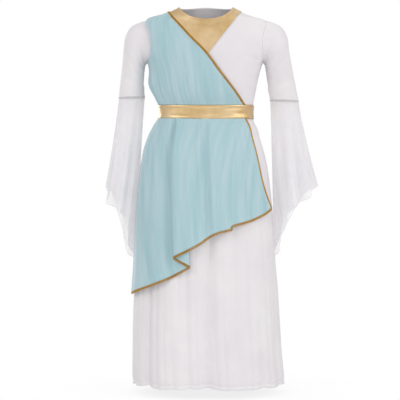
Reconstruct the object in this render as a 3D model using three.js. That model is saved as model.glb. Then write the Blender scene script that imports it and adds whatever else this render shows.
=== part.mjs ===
// Child's toga dress in its worn shape: a white jersey dress with a gold yoke and waistband, sheer
// flared sleeve flounces, and a pale chiffon overlay that falls from one shoulder and folds below the waist.
// Millimetres. +Z is up and the front faces -Y. The origin lies midway between the shoulder seams.
import * as THREE from 'three';

// Cloth thicknesses and seam gaps
const JERSEY = 1.6;
const CHIFFON = 1.2;
const LAME = 1.2;
const BAND = 3;
const BRAID = 1.8;
const BRAID_WIDTH = 4;
const BRAID_GAP = 0.45;
const SEAM = 0.3;
const SEAM_TURN = 0.11;

// Heights of the main lines
const NECK_POINT = 22;
const NECK_FRONT = -14;
const NECK_BACK = 31;
const SHOULDER_TIP = -10;
const ARMPIT = -114;
const BAND_TOP = -222;
const BAND_BOTTOM = -255;
const HEM = -915;
const ARMHOLE_TURN = 25;

// The dress's outline, a row for each level: the middle's shift sideways, the half width, and how far
// the front and the back stand off the plane of the side seams
const FORM = table(['z', 'shift', 'width', 'front', 'back'], [
  [30, 0, 56, 45, 51],
  [22, 0, 65, 48, 54],
  [14, 0, 80, 51, 57],
  [6, 0, 98, 54, 60],
  [-2, 0, 121, 57, 63],
  [-10, 0, 147, 60, 65],
  [-25, 0, 157, 64, 67],
  [-60, 0, 156, 74, 71],
  [-95, 0, 150, 82, 74],
  [-122, 0, 139, 85, 74],
  [-150, 0, 131, 86, 73],
  [-190, 0, 123, 83, 70],
  [-222, 0, 117, 79, 68],
  [-240, 0, 115, 78, 68],
  [-256, 0, 117, 79, 70],
  [-280, 0, 128, 84, 78],
  [-307, -2, 137, 90, 88],
  [-337, -3, 147, 96, 96],
  [-380, -2.5, 156, 102, 103],
  [-457, -2, 165, 112, 112],
  [-532, -1.5, 170.5, 119, 118],
  [-607, -1, 174, 124, 122],
  [-682, 0, 180, 128, 126],
  [-757, 1, 184, 131, 129],
  [-832, 3, 187, 134, 131],
  [-900, 6, 190, 137, 133],
  [-935, 8, 190, 138, 134],
]);
const RING_POWER = 2.25;
const RING_FLATNESS = 0.7;

// Skirt folds, a row for each soft trough: its turn round the skirt in degrees at the waist and at the hem,
// its depth at the hem, half its width in degrees, and the heights where it begins and where it has faded.
// Each grows over a length below its start, and the hem lifts a little in the deep ones.
const SKIRT_FOLDS = table(['top', 'hem', 'depth', 'spread', 'from', 'until'], [
  [-84, -79, 7, 5, -560, -1200],
  [-56, -57.7, 17, 7, -470, -1200],
  [-34, -30.6, 8, 5, -740, -1200],
  [-20, -16.7, 12, 5.5, -540, -1200],
  [8, -1.1, 21, 8, -410, -1200],
  [29, 22, 10, 6, -450, -860],
  [33, 31, 7, 5, -800, -1200],
  [50, 49.5, 13, 6, -690, -1200],
  [71, 73.3, 11, 6, -600, -1200],
  [101, 104, 13, 7, -560, -1200],
  [121, 125, 17, 7, -440, -1200],
  [145, 147, 21, 8, -400, -1200],
  [163, 166, 11, 6, -620, -1200],
  [186, 184, 21, 8, -410, -1200],
  [208, 206, 12, 6, -560, -1200],
  [231, 228, 19, 8, -430, -1200],
  [255, 252, 13, 7, -600, -1200],
]);
const FOLD = { lead: 60, growth: 330, fade: 120, sharpness: 1.6 };
const HEM_LIFT = { share: 0.34, from: -700 };
const SKIRT_LEVELS = [-258, -284, -316, -360, -425, -510, -610, -712, -815, HEM];

// Sleeves, a row for each section: the outer and the inner point across it, and half its depth from
// front to back. Sideways distances are from the middle of the dress.
const SLEEVE_COLUMNS = ['outer', 'outerZ', 'inner', 'innerZ', 'depth', 'lean'];
const SLEEVE_RIGHT = table(SLEEVE_COLUMNS, [
  [165, -14, 145.8, -118, 41, 0],
  [188, -26, 147.4, -124, 42, 0],
  [202, -48, 149.2, -131, 42, 1],
  [207, -80, 151, -142, 41, 2],
  [214, -122, 153.6, -163, 39.5, 3],
  [223, -168, 157, -187, 37, 4],
  [231.5, -211, 161, -208, 35, 6],
]);
const SLEEVE_LEFT = table(SLEEVE_COLUMNS, [
  [164, -14, 149.6, -118, 41, 0],
  [186, -25, 151.6, -124, 42, 0],
  [200, -46, 153.4, -131, 42, 1],
  [205, -78, 154.8, -142, 41, 2],
  [209, -118, 155.4, -160, 39.5, 3],
  [214, -162, 155, -182, 37, 4],
  [218, -203, 153.6, -201, 35, 6],
]);

// Hems of the flared flounces, a row for each lobe and each hollow between two lobes, from the outer side
// over the front to the inner side and round the back: sideways, front to back, and height
const BELL_COLUMNS = ['side', 'depth', 'z'];
const BELL_RIGHT = table(BELL_COLUMNS, [
  [281, 4, -422],
  [262, -26, -436],
  [257, -56, -452],
  [232, -40, -463],
  [219, -62, -476],
  [204, -34, -490],
  [190, -34, -512],
  [186, 2, -548],
  [172, 42, -600],
  [185, 46, -591],
  [192, 86, -558],
  [209, 62, -514],
  [238, 76, -465],
  [254, 34, -438],
]);
const BELL_LEFT = table(BELL_COLUMNS, [
  [252, 4, -424],
  [240, -26, -448],
  [247, -52, -465],
  [224, -40, -476],
  [212, -60, -486],
  [204, -32, -498],
  [193, -34, -530],
  [195, 0, -568],
  [180, 40, -602],
  [196, 46, -597],
  [205, 82, -580],
  [214, 60, -526],
  [231, 76, -475],
  [238, 34, -440],
]);
const BELL_FLARE = 1.15;

// Chiffon overlay above the waist: its free edge from the shoulder to the waistband, as the place sideways
// and the height, with the share of the way up
const OVERLAY_EDGE = table(['up', 'x', 'z'], [
  [0, 92, BAND_TOP + SEAM],
  [0.11, 68.5, -190],
  [0.28, 32.5, -145],
  [0.46, -4.5, -96],
  [0.59, -36, -64],
  [0.77, -74.5, -20],
  [0.84, -87.5, -6],
  [0.92, -92, 2],
  [1, -94.5, 7],
]);
// Where its gathers meet the waistband, and how deep each hollow is
const GATHERS = table(['turn', 'depth'], [
  [-90 + SEAM_TURN, 2],
  [-78, 5],
  [-66, 6],
  [-55, 9],
  [-46, 8],
  [-38, 9],
  [-29, 7],
  [-20, 6],
  [-9, 6.5],
  [2, 5],
  [15, 4],
  [28, 3],
  [42, 2],
  [54.6, 0],
]);

// Chiffon overlay below the waist, a row for each line that runs from the waistband to the hem: its turn at
// the top and at the hem, how its path bends, the hem's height, its stand-off at the top and at the hem,
// and the cells up to the next line. The upper flap doubles back on itself twice, like a Z.
const FLAP_COLUMNS = ['top', 'hem', 'bend', 'hemZ', 'offTop', 'offHem', 'cells'];
const FLAP = table(FLAP_COLUMNS, [
  [56.8, 69.5, 5, -478, 2.4, 7, 2],
  [53, 58, 2.4, -491, 2.4, 8.5, 2],
  [48, 45, 1.4, -505, 2.4, 5, 2],
  [37, 33, 1, -513, 2.4, 9.5, 2],
  [24, 21, 1, -524, 2.6, 8.5, 2],
  [11, 10, 1, -536, 2.6, 9, 2],
  [-2.6, 3.3, 1, -546, 2.6, 4.6, 2],
  [-14, -5, 0.9, -562, 4.6, 11, 2],
  [-26, -15, 0.7, -577, 7.2, 14.6, 2],
  [-40.6, -26.7, 0.45, -593, 7.4, 14.6, 1],
  [-41.8, -28.1, 0.45, -596, 6, 12.2, 1],
  [-40.6, -26.7, 0.45, -599, 4.8, 9.8, 3],
  [-34, -15.7, 0.45, -615, 4.8, 9.8, 1],
  [-32.8, -14.3, 0.45, -617, 3.6, 7.4, 1],
  [-34, -15.7, 0.45, -620, 2.4, 5, 3],
  [-40.6, -26.7, 0.45, -636, 2.4, 5, 2],
  [-50, -41, 0.5, -655, 2.4, 7.5, 2],
  [-63, -56, 0.7, -669, 2.4, 4, 2],
  [-78, -72, 0.9, -682, 3, 6.5, 2],
  [-90 + SEAM_TURN, -89, 1, -692, 3, 3, 0],
]);
const FLAP_ROWS = 10;
// Rows of the flap crowd together at the waistband. Its cloth bows out a little between two lines, stands
// off more over the hip, and swells just below the band.
const FLAP_CROWDING = 1.15;
const BOW = { share: 0.12, least: 0.4 };
const HIP_PUFF = { height: 3.5, z: -300, tall: 40, turn: -50, round: 30 };
const STAND_OFF = { reach: 2.2, share: 0.6, swell: 1.2, swellReach: 8 };

// Yoke: where its V ends on the shoulder seams, where its tip is, and how far it stands off the front
const YOKE_SHOULDER = 10;
const YOKE_TIP = -106;
const YOKE_LIFT = 3.1;

// Back fastening
const BUTTON_RADIUS = 5;
const BUTTON_THICK = 2.6;
const BUTTON_DROP = 11;
const LOOP_RADIUS = 7.5;
const LOOP_CORD = 1.6;
const LOOP_SEAT = 0.2;
const BUTTON_SEAT = 0.45;
const FASTEN_TURN = 176;

// Cells across each panel
const COLUMNS = { front: 26, back: 12, yoke: 20, band: 22, skirtFront: 48, skirtBack: 42 };
const YOKE_ROWS = 5;

const WHITE = new THREE.Color(0.9, 0.88, 0.88);
const GOLD = new THREE.Color(0.84, 0.7, 0.5);
const AQUA = new THREE.Color(0.69, 0.81, 0.84);
const DARK_GOLD = new THREE.Color(0.66, 0.5, 0.24);

// Rows of numbers as rows with named columns
function table(columns, rows) {
  return rows.map((row) => Object.fromEntries(columns.map((name, at) => [name, row[at]])));
}

function clamp01(value) {
  return Math.min(1, Math.max(0, value));
}

function smoothstep(value) {
  const t = clamp01(value);
  return t * t * (3 - 2 * t);
}

function mix(from, to, share) {
  return from + (to - from) * share;
}

// Slope of a column at a row of a table: none at a peak, and otherwise the neighbours' harmonic mean
function slopeAt(rows, key, column, at) {
  if (at === 0 || at === rows.length - 1) {
    return 0;
  }
  const before = (rows[at][column] - rows[at - 1][column]) / (rows[at][key] - rows[at - 1][key]);
  const after = (rows[at + 1][column] - rows[at][column]) / (rows[at + 1][key] - rows[at][key]);
  return before * after > 0 ? (2 * before * after) / (before + after) : 0;
}

// Smooth reading of one column of a table between its rows, which are in rising or falling order of the key
function read(rows, key, column, value) {
  const falling = rows[0][key] > rows[rows.length - 1][key];
  let at = rows.findIndex((row) => (falling ? row[key] <= value : row[key] >= value));
  at = at < 0 ? rows.length - 1 : Math.max(1, at);
  const a = rows[at - 1];
  const b = rows[at];
  const span = b[key] - a[key];
  const t = clamp01((value - a[key]) / span);
  const start = slopeAt(rows, key, column, at - 1) * span;
  const end = slopeAt(rows, key, column, at) * span;
  const ease = t * t * (3 - 2 * t);
  return mix(a[column], b[column], ease) + start * t * (1 - t) ** 2 - end * t * t * (1 - t);
}

// Half a rounded ring from the front middle to the back middle, measured along its edge in degrees of turn
const HALF_RING = (() => {
  const samples = 720;
  const points = [];
  let length = 0;
  for (let at = 0; at <= samples; at += 1) {
    const angle = (Math.PI * at) / samples;
    const across = Math.sin(angle) ** (2 / RING_POWER) || 0;
    const along = -Math.sign(Math.cos(angle)) * Math.abs(Math.cos(angle)) ** (2 / RING_POWER);
    const last = points[points.length - 1];
    length += last ? Math.hypot(across - last.across, RING_FLATNESS * (along - last.along)) : 0;
    points.push({ across, along, length });
  }
  return points.map((point) => ({ ...point, turn: (180 * point.length) / length }));
})();

function ringPoint(turn) {
  let wrapped = ((turn % 360) + 540) % 360 - 180;
  const side = wrapped < 0 ? -1 : 1;
  wrapped = Math.abs(wrapped);
  let low = 0;
  let high = HALF_RING.length - 1;
  while (high - low > 1) {
    const middle = (low + high) >> 1;
    if (HALF_RING[middle].turn <= wrapped) {
      low = middle;
    } else {
      high = middle;
    }
  }
  const a = HALF_RING[low];
  const b = HALF_RING[high];
  const share = (wrapped - a.turn) / (b.turn - a.turn);
  return { across: side * mix(a.across, b.across, share), along: mix(a.along, b.along, share) };
}

function formPoint(turn, z) {
  const { across, along } = ringPoint(turn);
  const depth = read(FORM, 'z', along < 0 ? 'front' : 'back', z);
  const x = read(FORM, 'z', 'shift', z) + read(FORM, 'z', 'width', z) * across;
  return new THREE.Vector3(x, depth * along, z);
}

// The way out of a surface that gives a point for each turn and height
function wayOut(surface, turn, z) {
  const round = surface(turn + 1, z).sub(surface(turn - 1, z));
  const up = surface(turn, z + 3).sub(surface(turn, z - 3));
  return round.cross(up).normalize();
}

// A point of the dress's outline moved out along its normal
function moved(turn, z, out) {
  return formPoint(turn, z).addScaledVector(wayOut(formPoint, turn, z), out);
}

// The turn on the front that lies a given distance sideways at a height
function frontTurn(x, z) {
  let low = -90;
  let high = 90;
  for (let step = 0; step < 40; step += 1) {
    const middle = (low + high) / 2;
    if (formPoint(middle, z).x < x) {
      low = middle;
    } else {
      high = middle;
    }
  }
  return (low + high) / 2;
}

// A closed wall round a grid of points, with half its thickness on each side. A point may know its own way
// out, so that two panels meet squarely at their seam.
function wall(grid, thick, closed = false) {
  const rows = grid.length;
  const columns = grid[0].length;
  const positions = [];
  const triangles = [];
  const pick = (row, column) => {
    const inRow = Math.min(rows - 1, Math.max(0, row));
    const inColumn = closed ? (column + columns) % columns : Math.min(columns - 1, Math.max(0, column));
    return grid[inRow][inColumn];
  };
  for (const side of [0.5, -0.5]) {
    for (let row = 0; row < rows; row += 1) {
      for (let column = 0; column < columns; column += 1) {
        const across = pick(row, column + 1).clone().sub(pick(row, column - 1));
        const along = pick(row + 1, column).clone().sub(pick(row - 1, column));
        const normal = grid[row][column].out ?? across.cross(along).normalize();
        const point = grid[row][column].clone().addScaledVector(normal, side * thick);
        positions.push(point.x, point.y, point.z);
      }
    }
  }
  const index = (side, row, column) => side * rows * columns + row * columns + (column % columns);
  const quad = (a, b, c, d) => triangles.push(a, b, c, a, c, d);
  const cells = closed ? columns : columns - 1;
  const lastRow = rows - 1;
  const lastColumn = columns - 1;
  for (let column = 0; column < cells; column += 1) {
    const next = column + 1;
    for (let row = 0; row < lastRow; row += 1) {
      const up = row + 1;
      quad(index(0, row, column), index(0, row, next), index(0, up, next), index(0, up, column));
      quad(index(1, row, column), index(1, up, column), index(1, up, next), index(1, row, next));
    }
    quad(index(0, 0, column), index(1, 0, column), index(1, 0, next), index(0, 0, next));
    const [near, far] = [index(0, lastRow, column), index(0, lastRow, next)];
    quad(near, far, index(1, lastRow, next), index(1, lastRow, column));
  }
  for (let row = 0; row < (closed ? 0 : lastRow); row += 1) {
    const up = row + 1;
    quad(index(0, row, 0), index(0, up, 0), index(1, up, 0), index(1, row, 0));
    const [below, above] = [index(0, row, lastColumn), index(0, up, lastColumn)];
    quad(below, index(1, row, lastColumn), index(1, up, lastColumn), above);
  }
  return solid(positions, triangles);
}

// Geometry from points and triangles, with its faces turned outwards
function solid(positions, triangles) {
  let volume = 0;
  const corner = (at) => new THREE.Vector3(...positions.slice(3 * at, 3 * at + 3));
  for (let at = 0; at < triangles.length; at += 3) {
    const [a, b, c] = [corner(triangles[at]), corner(triangles[at + 1]), corner(triangles[at + 2])];
    volume += a.dot(b.cross(c));
  }
  const faces = volume < 0 ? triangles.slice().reverse() : triangles;
  const geometry = new THREE.BufferGeometry();
  geometry.setAttribute('position', new THREE.Float32BufferAttribute(positions, 3));
  geometry.setIndex(faces);
  geometry.computeVertexNormals();
  return geometry;
}

// Turn and height at a place in a patch, blended from its four edges
function blend(edges, u, v) {
  const result = {};
  for (const key of ['turn', 'z']) {
    const between = mix(edges.bottom(u)[key], edges.top(u)[key], v);
    const sides = mix(edges.left(v)[key], edges.right(v)[key], u);
    const low = mix(edges.bottom(0)[key], edges.bottom(1)[key], u);
    const high = mix(edges.top(0)[key], edges.top(1)[key], u);
    result[key] = between + sides - mix(low, high, v);
  }
  return result;
}

// A point on a surface, with its way out
function seated(surface, turn, z) {
  const point = surface(turn, z);
  point.out = wayOut(surface, turn, z);
  return point;
}

// A grid of places over a patch, each turned into a point by place. Its rows crowd together towards the
// shoulders, where the cloth bends most.
const CROWDING = 1.7;
function patchGrid(edges, columns, rows, place) {
  const grid = [];
  for (let row = 0; row <= rows; row += 1) {
    const line = [];
    for (let column = 0; column <= columns; column += 1) {
      const u = column / columns;
      const v = 1 - (1 - row / rows) ** CROWDING;
      const { turn, z } = blend(edges, u, v);
      line.push(place(turn, z, u));
    }
    grid.push(line);
  }
  return grid;
}

// How far the armhole's edge lies from the side seam at a height, in degrees of turn
function armholeInset(z) {
  const middle = (ARMPIT + SHOULDER_TIP) / 2;
  const half = (SHOULDER_TIP - ARMPIT) / 2;
  return ARMHOLE_TURN * Math.max(0, 1 - ((z - middle) / half) ** 2) ** ARMHOLE_ROUNDNESS;
}

// Levels round the armhole, from the armpit to the shoulder's tip, close together where it turns
const ARMHOLE_CELLS = 8;
const ARMHOLE_ROUNDNESS = 0.4;
const ARMHOLE_LEVELS = Array.from({ length: ARMHOLE_CELLS + 1 }, (_, at) => (
  mix(ARMPIT, SHOULDER_TIP, (1 - Math.cos((Math.PI * at) / ARMHOLE_CELLS)) / 2)
));
const BODICE_LEVELS = [BAND_TOP + SEAM, -186, -150, ...ARMHOLE_LEVELS, 0, NECK_POINT / 2, NECK_POINT];

// The overlay's side edge, up the side seam and then round the armhole
const SIDE_SHARE = 0.45;
function sideEdge(v) {
  const share = clamp01((v - SIDE_SHARE) / (1 - SIDE_SHARE));
  const z = v < SIDE_SHARE
    ? mix(BAND_TOP + SEAM, ARMPIT, v / SIDE_SHARE)
    : mix(ARMPIT, SHOULDER_TIP, (1 - Math.cos(Math.PI * share)) / 2);
  return { inset: armholeInset(z), z };
}

const NECK_ROUNDING = 0.22;
function frontNeck(turn) {
  const across = Math.sin(THREE.MathUtils.degToRad(Math.abs(turn)));
  const rise = Math.hypot(across, NECK_ROUNDING) - NECK_ROUNDING;
  return mix(NECK_FRONT, NECK_POINT, rise / (Math.hypot(1, NECK_ROUNDING) - NECK_ROUNDING));
}

function backNeck(turn) {
  return mix(NECK_POINT, NECK_BACK, smoothstep((Math.abs(turn) - 90) / 90));
}

const SIDE = 90 - SEAM_TURN;

// A bodice panel between two turns: level rows up to the neck's base, and above it rows that rise to the
// neckline. A panel's edge at a side seam is cut in for the armhole.
const NECK_BASE = -42;
function bodicePanel(from, to, columns, neckline) {
  return BODICE_LEVELS.map((level) => {
    const line = [];
    for (let column = 0; column <= columns; column += 1) {
      const cut = (turn) => (Math.abs(Math.abs(turn) - 90) < 1 ? armholeInset(level) : 0);
      const inward = Math.sign(to - from);
      const turn = mix(from + inward * cut(from), to - inward * cut(to), column / columns);
      const rise = Math.max(0, (level - NECK_BASE) / (NECK_POINT - NECK_BASE));
      const z = rise > 0 ? mix(NECK_BASE, neckline(turn), rise) : level;
      line.push(seated(formPoint, turn, z));
    }
    return line;
  });
}

// The V of the yoke hangs straight from the shoulder seams to its tip: its lower edge at a turn
function yokeLow(turn) {
  const shoulder = read(FORM, 'z', 'width', YOKE_SHOULDER);
  let low = 0;
  let high = 1;
  for (let step = 0; step < 40; step += 1) {
    const share = (low + high) / 2;
    if (Math.abs(formPoint(turn, mix(YOKE_TIP, YOKE_SHOULDER, share)).x) > shoulder * share) {
      low = share;
    } else {
      high = share;
    }
  }
  return mix(YOKE_TIP, YOKE_SHOULDER, low);
}

function yokePanel(columns, rows) {
  const grid = [];
  for (let row = 0; row <= rows; row += 1) {
    const line = [];
    for (let column = 0; column <= columns; column += 1) {
      const turn = mix(-SIDE, SIDE, column / columns);
      line.push(moved(turn, mix(yokeLow(turn), frontNeck(turn), row / rows), YOKE_LIFT));
    }
    grid.push(line);
  }
  return grid;
}

// Chiffon over the shoulder: it is caught in the shoulder and side seams and stays just inside the armhole
const GATHER_CELLS = 4;
const OVERLAY_ROWS = 9;
const OVERLAY_INSET = { turn: 2.2, from: 0.3, rise: 0.2, fall: 0.08 };
function overlayEdges() {
  const last = GATHERS.length - 1;
  const edgeZ = (v) => read(OVERLAY_EDGE, 'up', 'z', v);
  const side = (v) => {
    const grown = smoothstep((v - OVERLAY_INSET.from) / OVERLAY_INSET.rise);
    const inset = OVERLAY_INSET.turn * grown * smoothstep((1 - v) / OVERLAY_INSET.fall);
    return { turn: -SIDE + sideEdge(v).inset + inset, z: sideEdge(v).z };
  };
  const free = (v) => {
    const turn = frontTurn(read(OVERLAY_EDGE, 'up', 'x', v), edgeZ(v));
    return { turn: Math.max(-SIDE, turn), z: edgeZ(v) };
  };
  const waist = (u) => {
    const at = Math.min(last - 1, Math.floor(u * last));
    return { turn: mix(GATHERS[at].turn, GATHERS[at + 1].turn, u * last - at), z: BAND_TOP + SEAM };
  };
  const shoulder = (u) => ({ turn: -SIDE, z: mix(SHOULDER_TIP, edgeZ(1), u) });
  return { bottom: waist, top: shoulder, left: side, right: free };
}

// The chiffon lies close at the waistband and the seams and stands clear of the yoke above. Its gathers
// swell over the first stretch above the band and fade higher up.
const OVERLAY_LOW = 2.4;
const OVERLAY_CLEAR = 6;
const CLEAR_RISE = 40;
const SEAM_SIDE = { share: 0.45, reach: 0.07 };
const SWELL = { start: 0.3, rise: 22, fadeFrom: 30, fade: 110, faded: 0.2 };
const EDGE_RISE = { height: 2, from: 0.86, start: 0.4, tall: 30 };
const SIDE_PUFF = { height: 10, turn: -82, z: -166, round: 13, tall: 27 };
function overlayPoint(turn, z, u) {
  const place = u * (GATHERS.length - 1);
  const at = Math.min(GATHERS.length - 2, Math.floor(place));
  const depth = mix(GATHERS[at].depth, GATHERS[at + 1].depth, place - at);
  const up = z - BAND_TOP;
  const grown = mix(SWELL.start, 1, smoothstep(up / SWELL.rise));
  const swell = grown * mix(1, SWELL.faded, smoothstep((up - SWELL.fadeFrom) / SWELL.fade));
  const wave = (1 - Math.abs(Math.cos(Math.PI * place))) * depth * swell;
  const fromSide = mix(SEAM_SIDE.share, 1, smoothstep(u / SEAM_SIDE.reach));
  const puff = SIDE_PUFF.height
    * Math.exp(-(((turn - SIDE_PUFF.turn) / SIDE_PUFF.round) ** 2))
    * Math.exp(-(((z - SIDE_PUFF.z) / SIDE_PUFF.tall) ** 2));
  const rest = mix(OVERLAY_LOW, OVERLAY_CLEAR, smoothstep(up / CLEAR_RISE) * fromSide);
  const nearEdge = smoothstep((u - EDGE_RISE.from) / (1 - EDGE_RISE.from));
  const edge = EDGE_RISE.height * nearEdge * mix(EDGE_RISE.start, 1, smoothstep(up / EDGE_RISE.tall));
  return moved(turn, z, rest + wave + puff + edge);
}

// How far a skirt fold draws the cloth in at a place
function foldDepth(turn, z) {
  const down = clamp01((z - BAND_BOTTOM) / (HEM - BAND_BOTTOM));
  let depth = 0;
  for (const fold of SKIRT_FOLDS) {
    const middle = mix(fold.top, fold.hem, down);
    const away = Math.abs(((turn - middle + 540) % 360) - 180) / fold.spread;
    const grown = smoothstep((fold.from + FOLD.lead - z) / FOLD.growth);
    const kept = smoothstep((z - fold.until) / FOLD.fade);
    depth += fold.depth * grown * kept * Math.exp(-(away ** FOLD.sharpness));
  }
  return depth;
}

function skirtPoint(turn, z) {
  const depth = foldDepth(turn, z);
  const raised = HEM_LIFT.share * depth * smoothstep((HEM_LIFT.from - z) / (HEM_LIFT.from - HEM));
  return moved(turn, z + raised, -depth);
}

// A level line of points round part of a surface
function levelLine(surface, from, to, columns, z) {
  const line = [];
  for (let column = 0; column <= columns; column += 1) {
    line.push(seated(surface, mix(from, to, column / columns), z));
  }
  return line;
}

// Sets a line of points, and their ways out, level at a height, so that what lies below or above meets it
function level(line, z) {
  line.forEach((point) => {
    point.z = z;
    point.out?.setZ(0).normalize();
  });
}

function skirtHalf(from, to, columns) {
  const grid = SKIRT_LEVELS.map((z) => levelLine(skirtPoint, from, to, columns, z));
  level(grid[0], BAND_BOTTOM - SEAM);
  return wall(grid, JERSEY);
}

const BAND_OFF = 1.2;
function bandHalf(from, to, columns) {
  const surface = (turn, z) => moved(turn, z, BAND_OFF);
  const heights = [BAND_TOP, mix(BAND_TOP, BAND_BOTTOM, 0.5), BAND_BOTTOM];
  const grid = heights.map((z) => levelLine(surface, from, to, columns, z));
  level(grid[0], BAND_TOP);
  level(grid[2], BAND_BOTTOM);
  return wall(grid, BAND);
}

// The chiffon's lines below the waist, with the cells between them, and its points at a share of the way down
function flapLines() {
  const lines = [];
  FLAP.forEach((row, at) => {
    const next = FLAP[Math.min(FLAP.length - 1, at + 1)];
    for (let cell = 0; cell < Math.max(1, row.cells); cell += 1) {
      const share = row.cells ? cell / row.cells : 0;
      const line = {};
      FLAP_COLUMNS.forEach((name) => {
        line[name] = mix(row[name], next[name], share);
      });
      if (share > 0 && row.cells === 2) {
        line.offHem += BOW.share * Math.abs(row.offHem - next.offHem) + BOW.least;
      }
      lines.push(line);
    }
  });
  return lines;
}

function flapPoint(line, v) {
  const z = mix(BAND_BOTTOM - SEAM, line.hemZ, v);
  const turn = mix(line.top, line.hem, v ** line.bend);
  const grown = mix(v, smoothstep(v * STAND_OFF.reach), STAND_OFF.share);
  const off = mix(line.offTop, line.offHem, grown) + STAND_OFF.swell * smoothstep(v * STAND_OFF.swellReach);
  const hip = HIP_PUFF.height * Math.exp(-(((z - HIP_PUFF.z) / HIP_PUFF.tall) ** 2));
  return moved(turn, z, off + hip * smoothstep((HIP_PUFF.turn - turn) / HIP_PUFF.round));
}

function flapGrid() {
  const grid = [];
  for (let row = 0; row <= FLAP_ROWS; row += 1) {
    grid.push(flapLines().map((line) => flapPoint(line, (row / FLAP_ROWS) ** FLAP_CROWDING)));
  }
  level(grid[0], BAND_BOTTOM - SEAM);
  return grid;
}

// A strip of braid just past an edge: for each edge point, the point a little farther in the cloth gives
// the way out
function braidStrip(edge, inside) {
  const inner = [];
  const outer = [];
  edge.forEach((point, at) => {
    const out = point.clone().sub(inside[at]).normalize();
    inner.push(point.clone().addScaledVector(out, BRAID_GAP));
    outer.push(point.clone().addScaledVector(out, BRAID_GAP + BRAID_WIDTH));
  });
  return wall([inner, outer], BRAID);
}

// Armhole edge as a ring of points for the sleeve's start, from the shoulder's tip over the front. It
// stands off the bodice's edge, most under the arm.
const SLEEVE_SIDES = 2 * ARMHOLE_CELLS;
const SLEEVE_OFF = 1.1;
const SLEEVE_BOW = 0.5;
const UNDERARM_LEFT = 4.4;
const UNDERARM_RIGHT = 1.6;
function armholeRing(side, underarm) {
  const ring = [];
  for (let at = 0; at < SLEEVE_SIDES; at += 1) {
    const round = (2 * at) / SLEEVE_SIDES;
    const front = round <= 1;
    const z = ARMHOLE_LEVELS[Math.abs(ARMHOLE_CELLS - at)];
    const turn = 90 + (front ? -1 : 1) * armholeInset(z);
    const point = formPoint(side * turn, z);
    const low = (1 - Math.cos(Math.PI * round)) / 2;
    point.x += side * (SLEEVE_OFF + SLEEVE_BOW * Math.sin(Math.PI * round) ** 2 + underarm * low ** 3);
    ring.push(point);
  }
  return ring;
}

function sleeveRing(row, side, sides) {
  const outer = new THREE.Vector3(side * row.outer, row.lean, row.outerZ);
  const inner = new THREE.Vector3(side * row.inner, row.lean, row.innerZ);
  const middle = outer.clone().add(inner).multiplyScalar(0.5);
  const across = outer.clone().sub(middle);
  const ring = [];
  for (let at = 0; at < sides; at += 1) {
    const angle = (2 * Math.PI * at) / sides;
    const point = middle.clone().addScaledVector(across, Math.cos(angle));
    point.y -= row.depth * Math.sin(angle);
    ring.push(point);
  }
  return ring;
}

function sleeve(rows, side, underarm) {
  const grid = [armholeRing(side, underarm)];
  rows.forEach((row) => grid.push(sleeveRing(row, side, SLEEVE_SIDES)));
  return wall(grid, JERSEY, true);
}

const BELL_ROWS = 7;
const BELL_PER_LOBE = 3;
function bell(sleeveRows, hemRows, side) {
  const hem = new THREE.CatmullRomCurve3(
    hemRows.map((row) => new THREE.Vector3(side * row.side, row.depth, row.z)),
    true,
    'centripetal',
  );
  const sides = hemRows.length * BELL_PER_LOBE;
  const top = sleeveRing(sleeveRows[sleeveRows.length - 1], side, sides);
  const grid = [];
  for (let row = 0; row <= BELL_ROWS; row += 1) {
    const down = row / BELL_ROWS;
    grid.push(top.map((point, at) => {
      const end = hem.getPoint(at / sides);
      const x = mix(point.x, end.x, down ** BELL_FLARE);
      const y = mix(point.y, end.y, down ** BELL_FLARE);
      return new THREE.Vector3(x, y, mix(point.z - SEAM, end.z, down));
    }));
  }
  return wall(grid, CHIFFON, true);
}

const dress = new THREE.Group();

function add(name, geometry, color, roughness, metalness = 0) {
  const material = new THREE.MeshStandardMaterial({ color, roughness, metalness });
  const mesh = new THREE.Mesh(geometry, material);
  mesh.name = name;
  dress.add(mesh);
  return mesh;
}

const centre = 180 - SEAM_TURN;
add('bodice_front', wall(bodicePanel(-SIDE, SIDE, COLUMNS.front, frontNeck), JERSEY), WHITE, 0.8);
add('bodice_back_left', wall(bodicePanel(SIDE - 180, -centre, COLUMNS.back, backNeck), JERSEY), WHITE, 0.8);
add('bodice_back_right', wall(bodicePanel(180 - SIDE, centre, COLUMNS.back, backNeck), JERSEY), WHITE, 0.8);
add('neck_yoke', wall(yokePanel(COLUMNS.yoke, YOKE_ROWS), LAME), GOLD, 0.35, 0.6);

add('sleeve_left', sleeve(SLEEVE_LEFT, -1, UNDERARM_LEFT), WHITE, 0.8);
add('sleeve_right', sleeve(SLEEVE_RIGHT, 1, UNDERARM_RIGHT), WHITE, 0.8);
add('bell_left', bell(SLEEVE_LEFT, BELL_LEFT, -1), WHITE, 0.7);
add('bell_right', bell(SLEEVE_RIGHT, BELL_RIGHT, 1), WHITE, 0.7);

add('waistband_front', bandHalf(-SIDE, SIDE, COLUMNS.band), GOLD, 0.35, 0.6);
add('waistband_back', bandHalf(180 - SIDE, 180 + SIDE, COLUMNS.band), GOLD, 0.35, 0.6);
add('skirt_front', skirtHalf(-SIDE, SIDE, COLUMNS.skirtFront), WHITE, 0.8);
add('skirt_back', skirtHalf(180 - SIDE, 180 + SIDE, COLUMNS.skirtBack), WHITE, 0.8);

const overlay = patchGrid(overlayEdges(), GATHER_CELLS * (GATHERS.length - 1), OVERLAY_ROWS, overlayPoint);
level(overlay[0], BAND_TOP + SEAM);
add('toga_bodice', wall(overlay, CHIFFON), AQUA, 0.7);
const last = overlay[0].length - 1;
const overlayEdge = overlay.map((line) => line[last]);
const overlayInside = overlay.map((line) => line[last - 1]);
add('braid_bodice', braidStrip(overlayEdge, overlayInside), DARK_GOLD, 0.4, 0.5);

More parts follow.
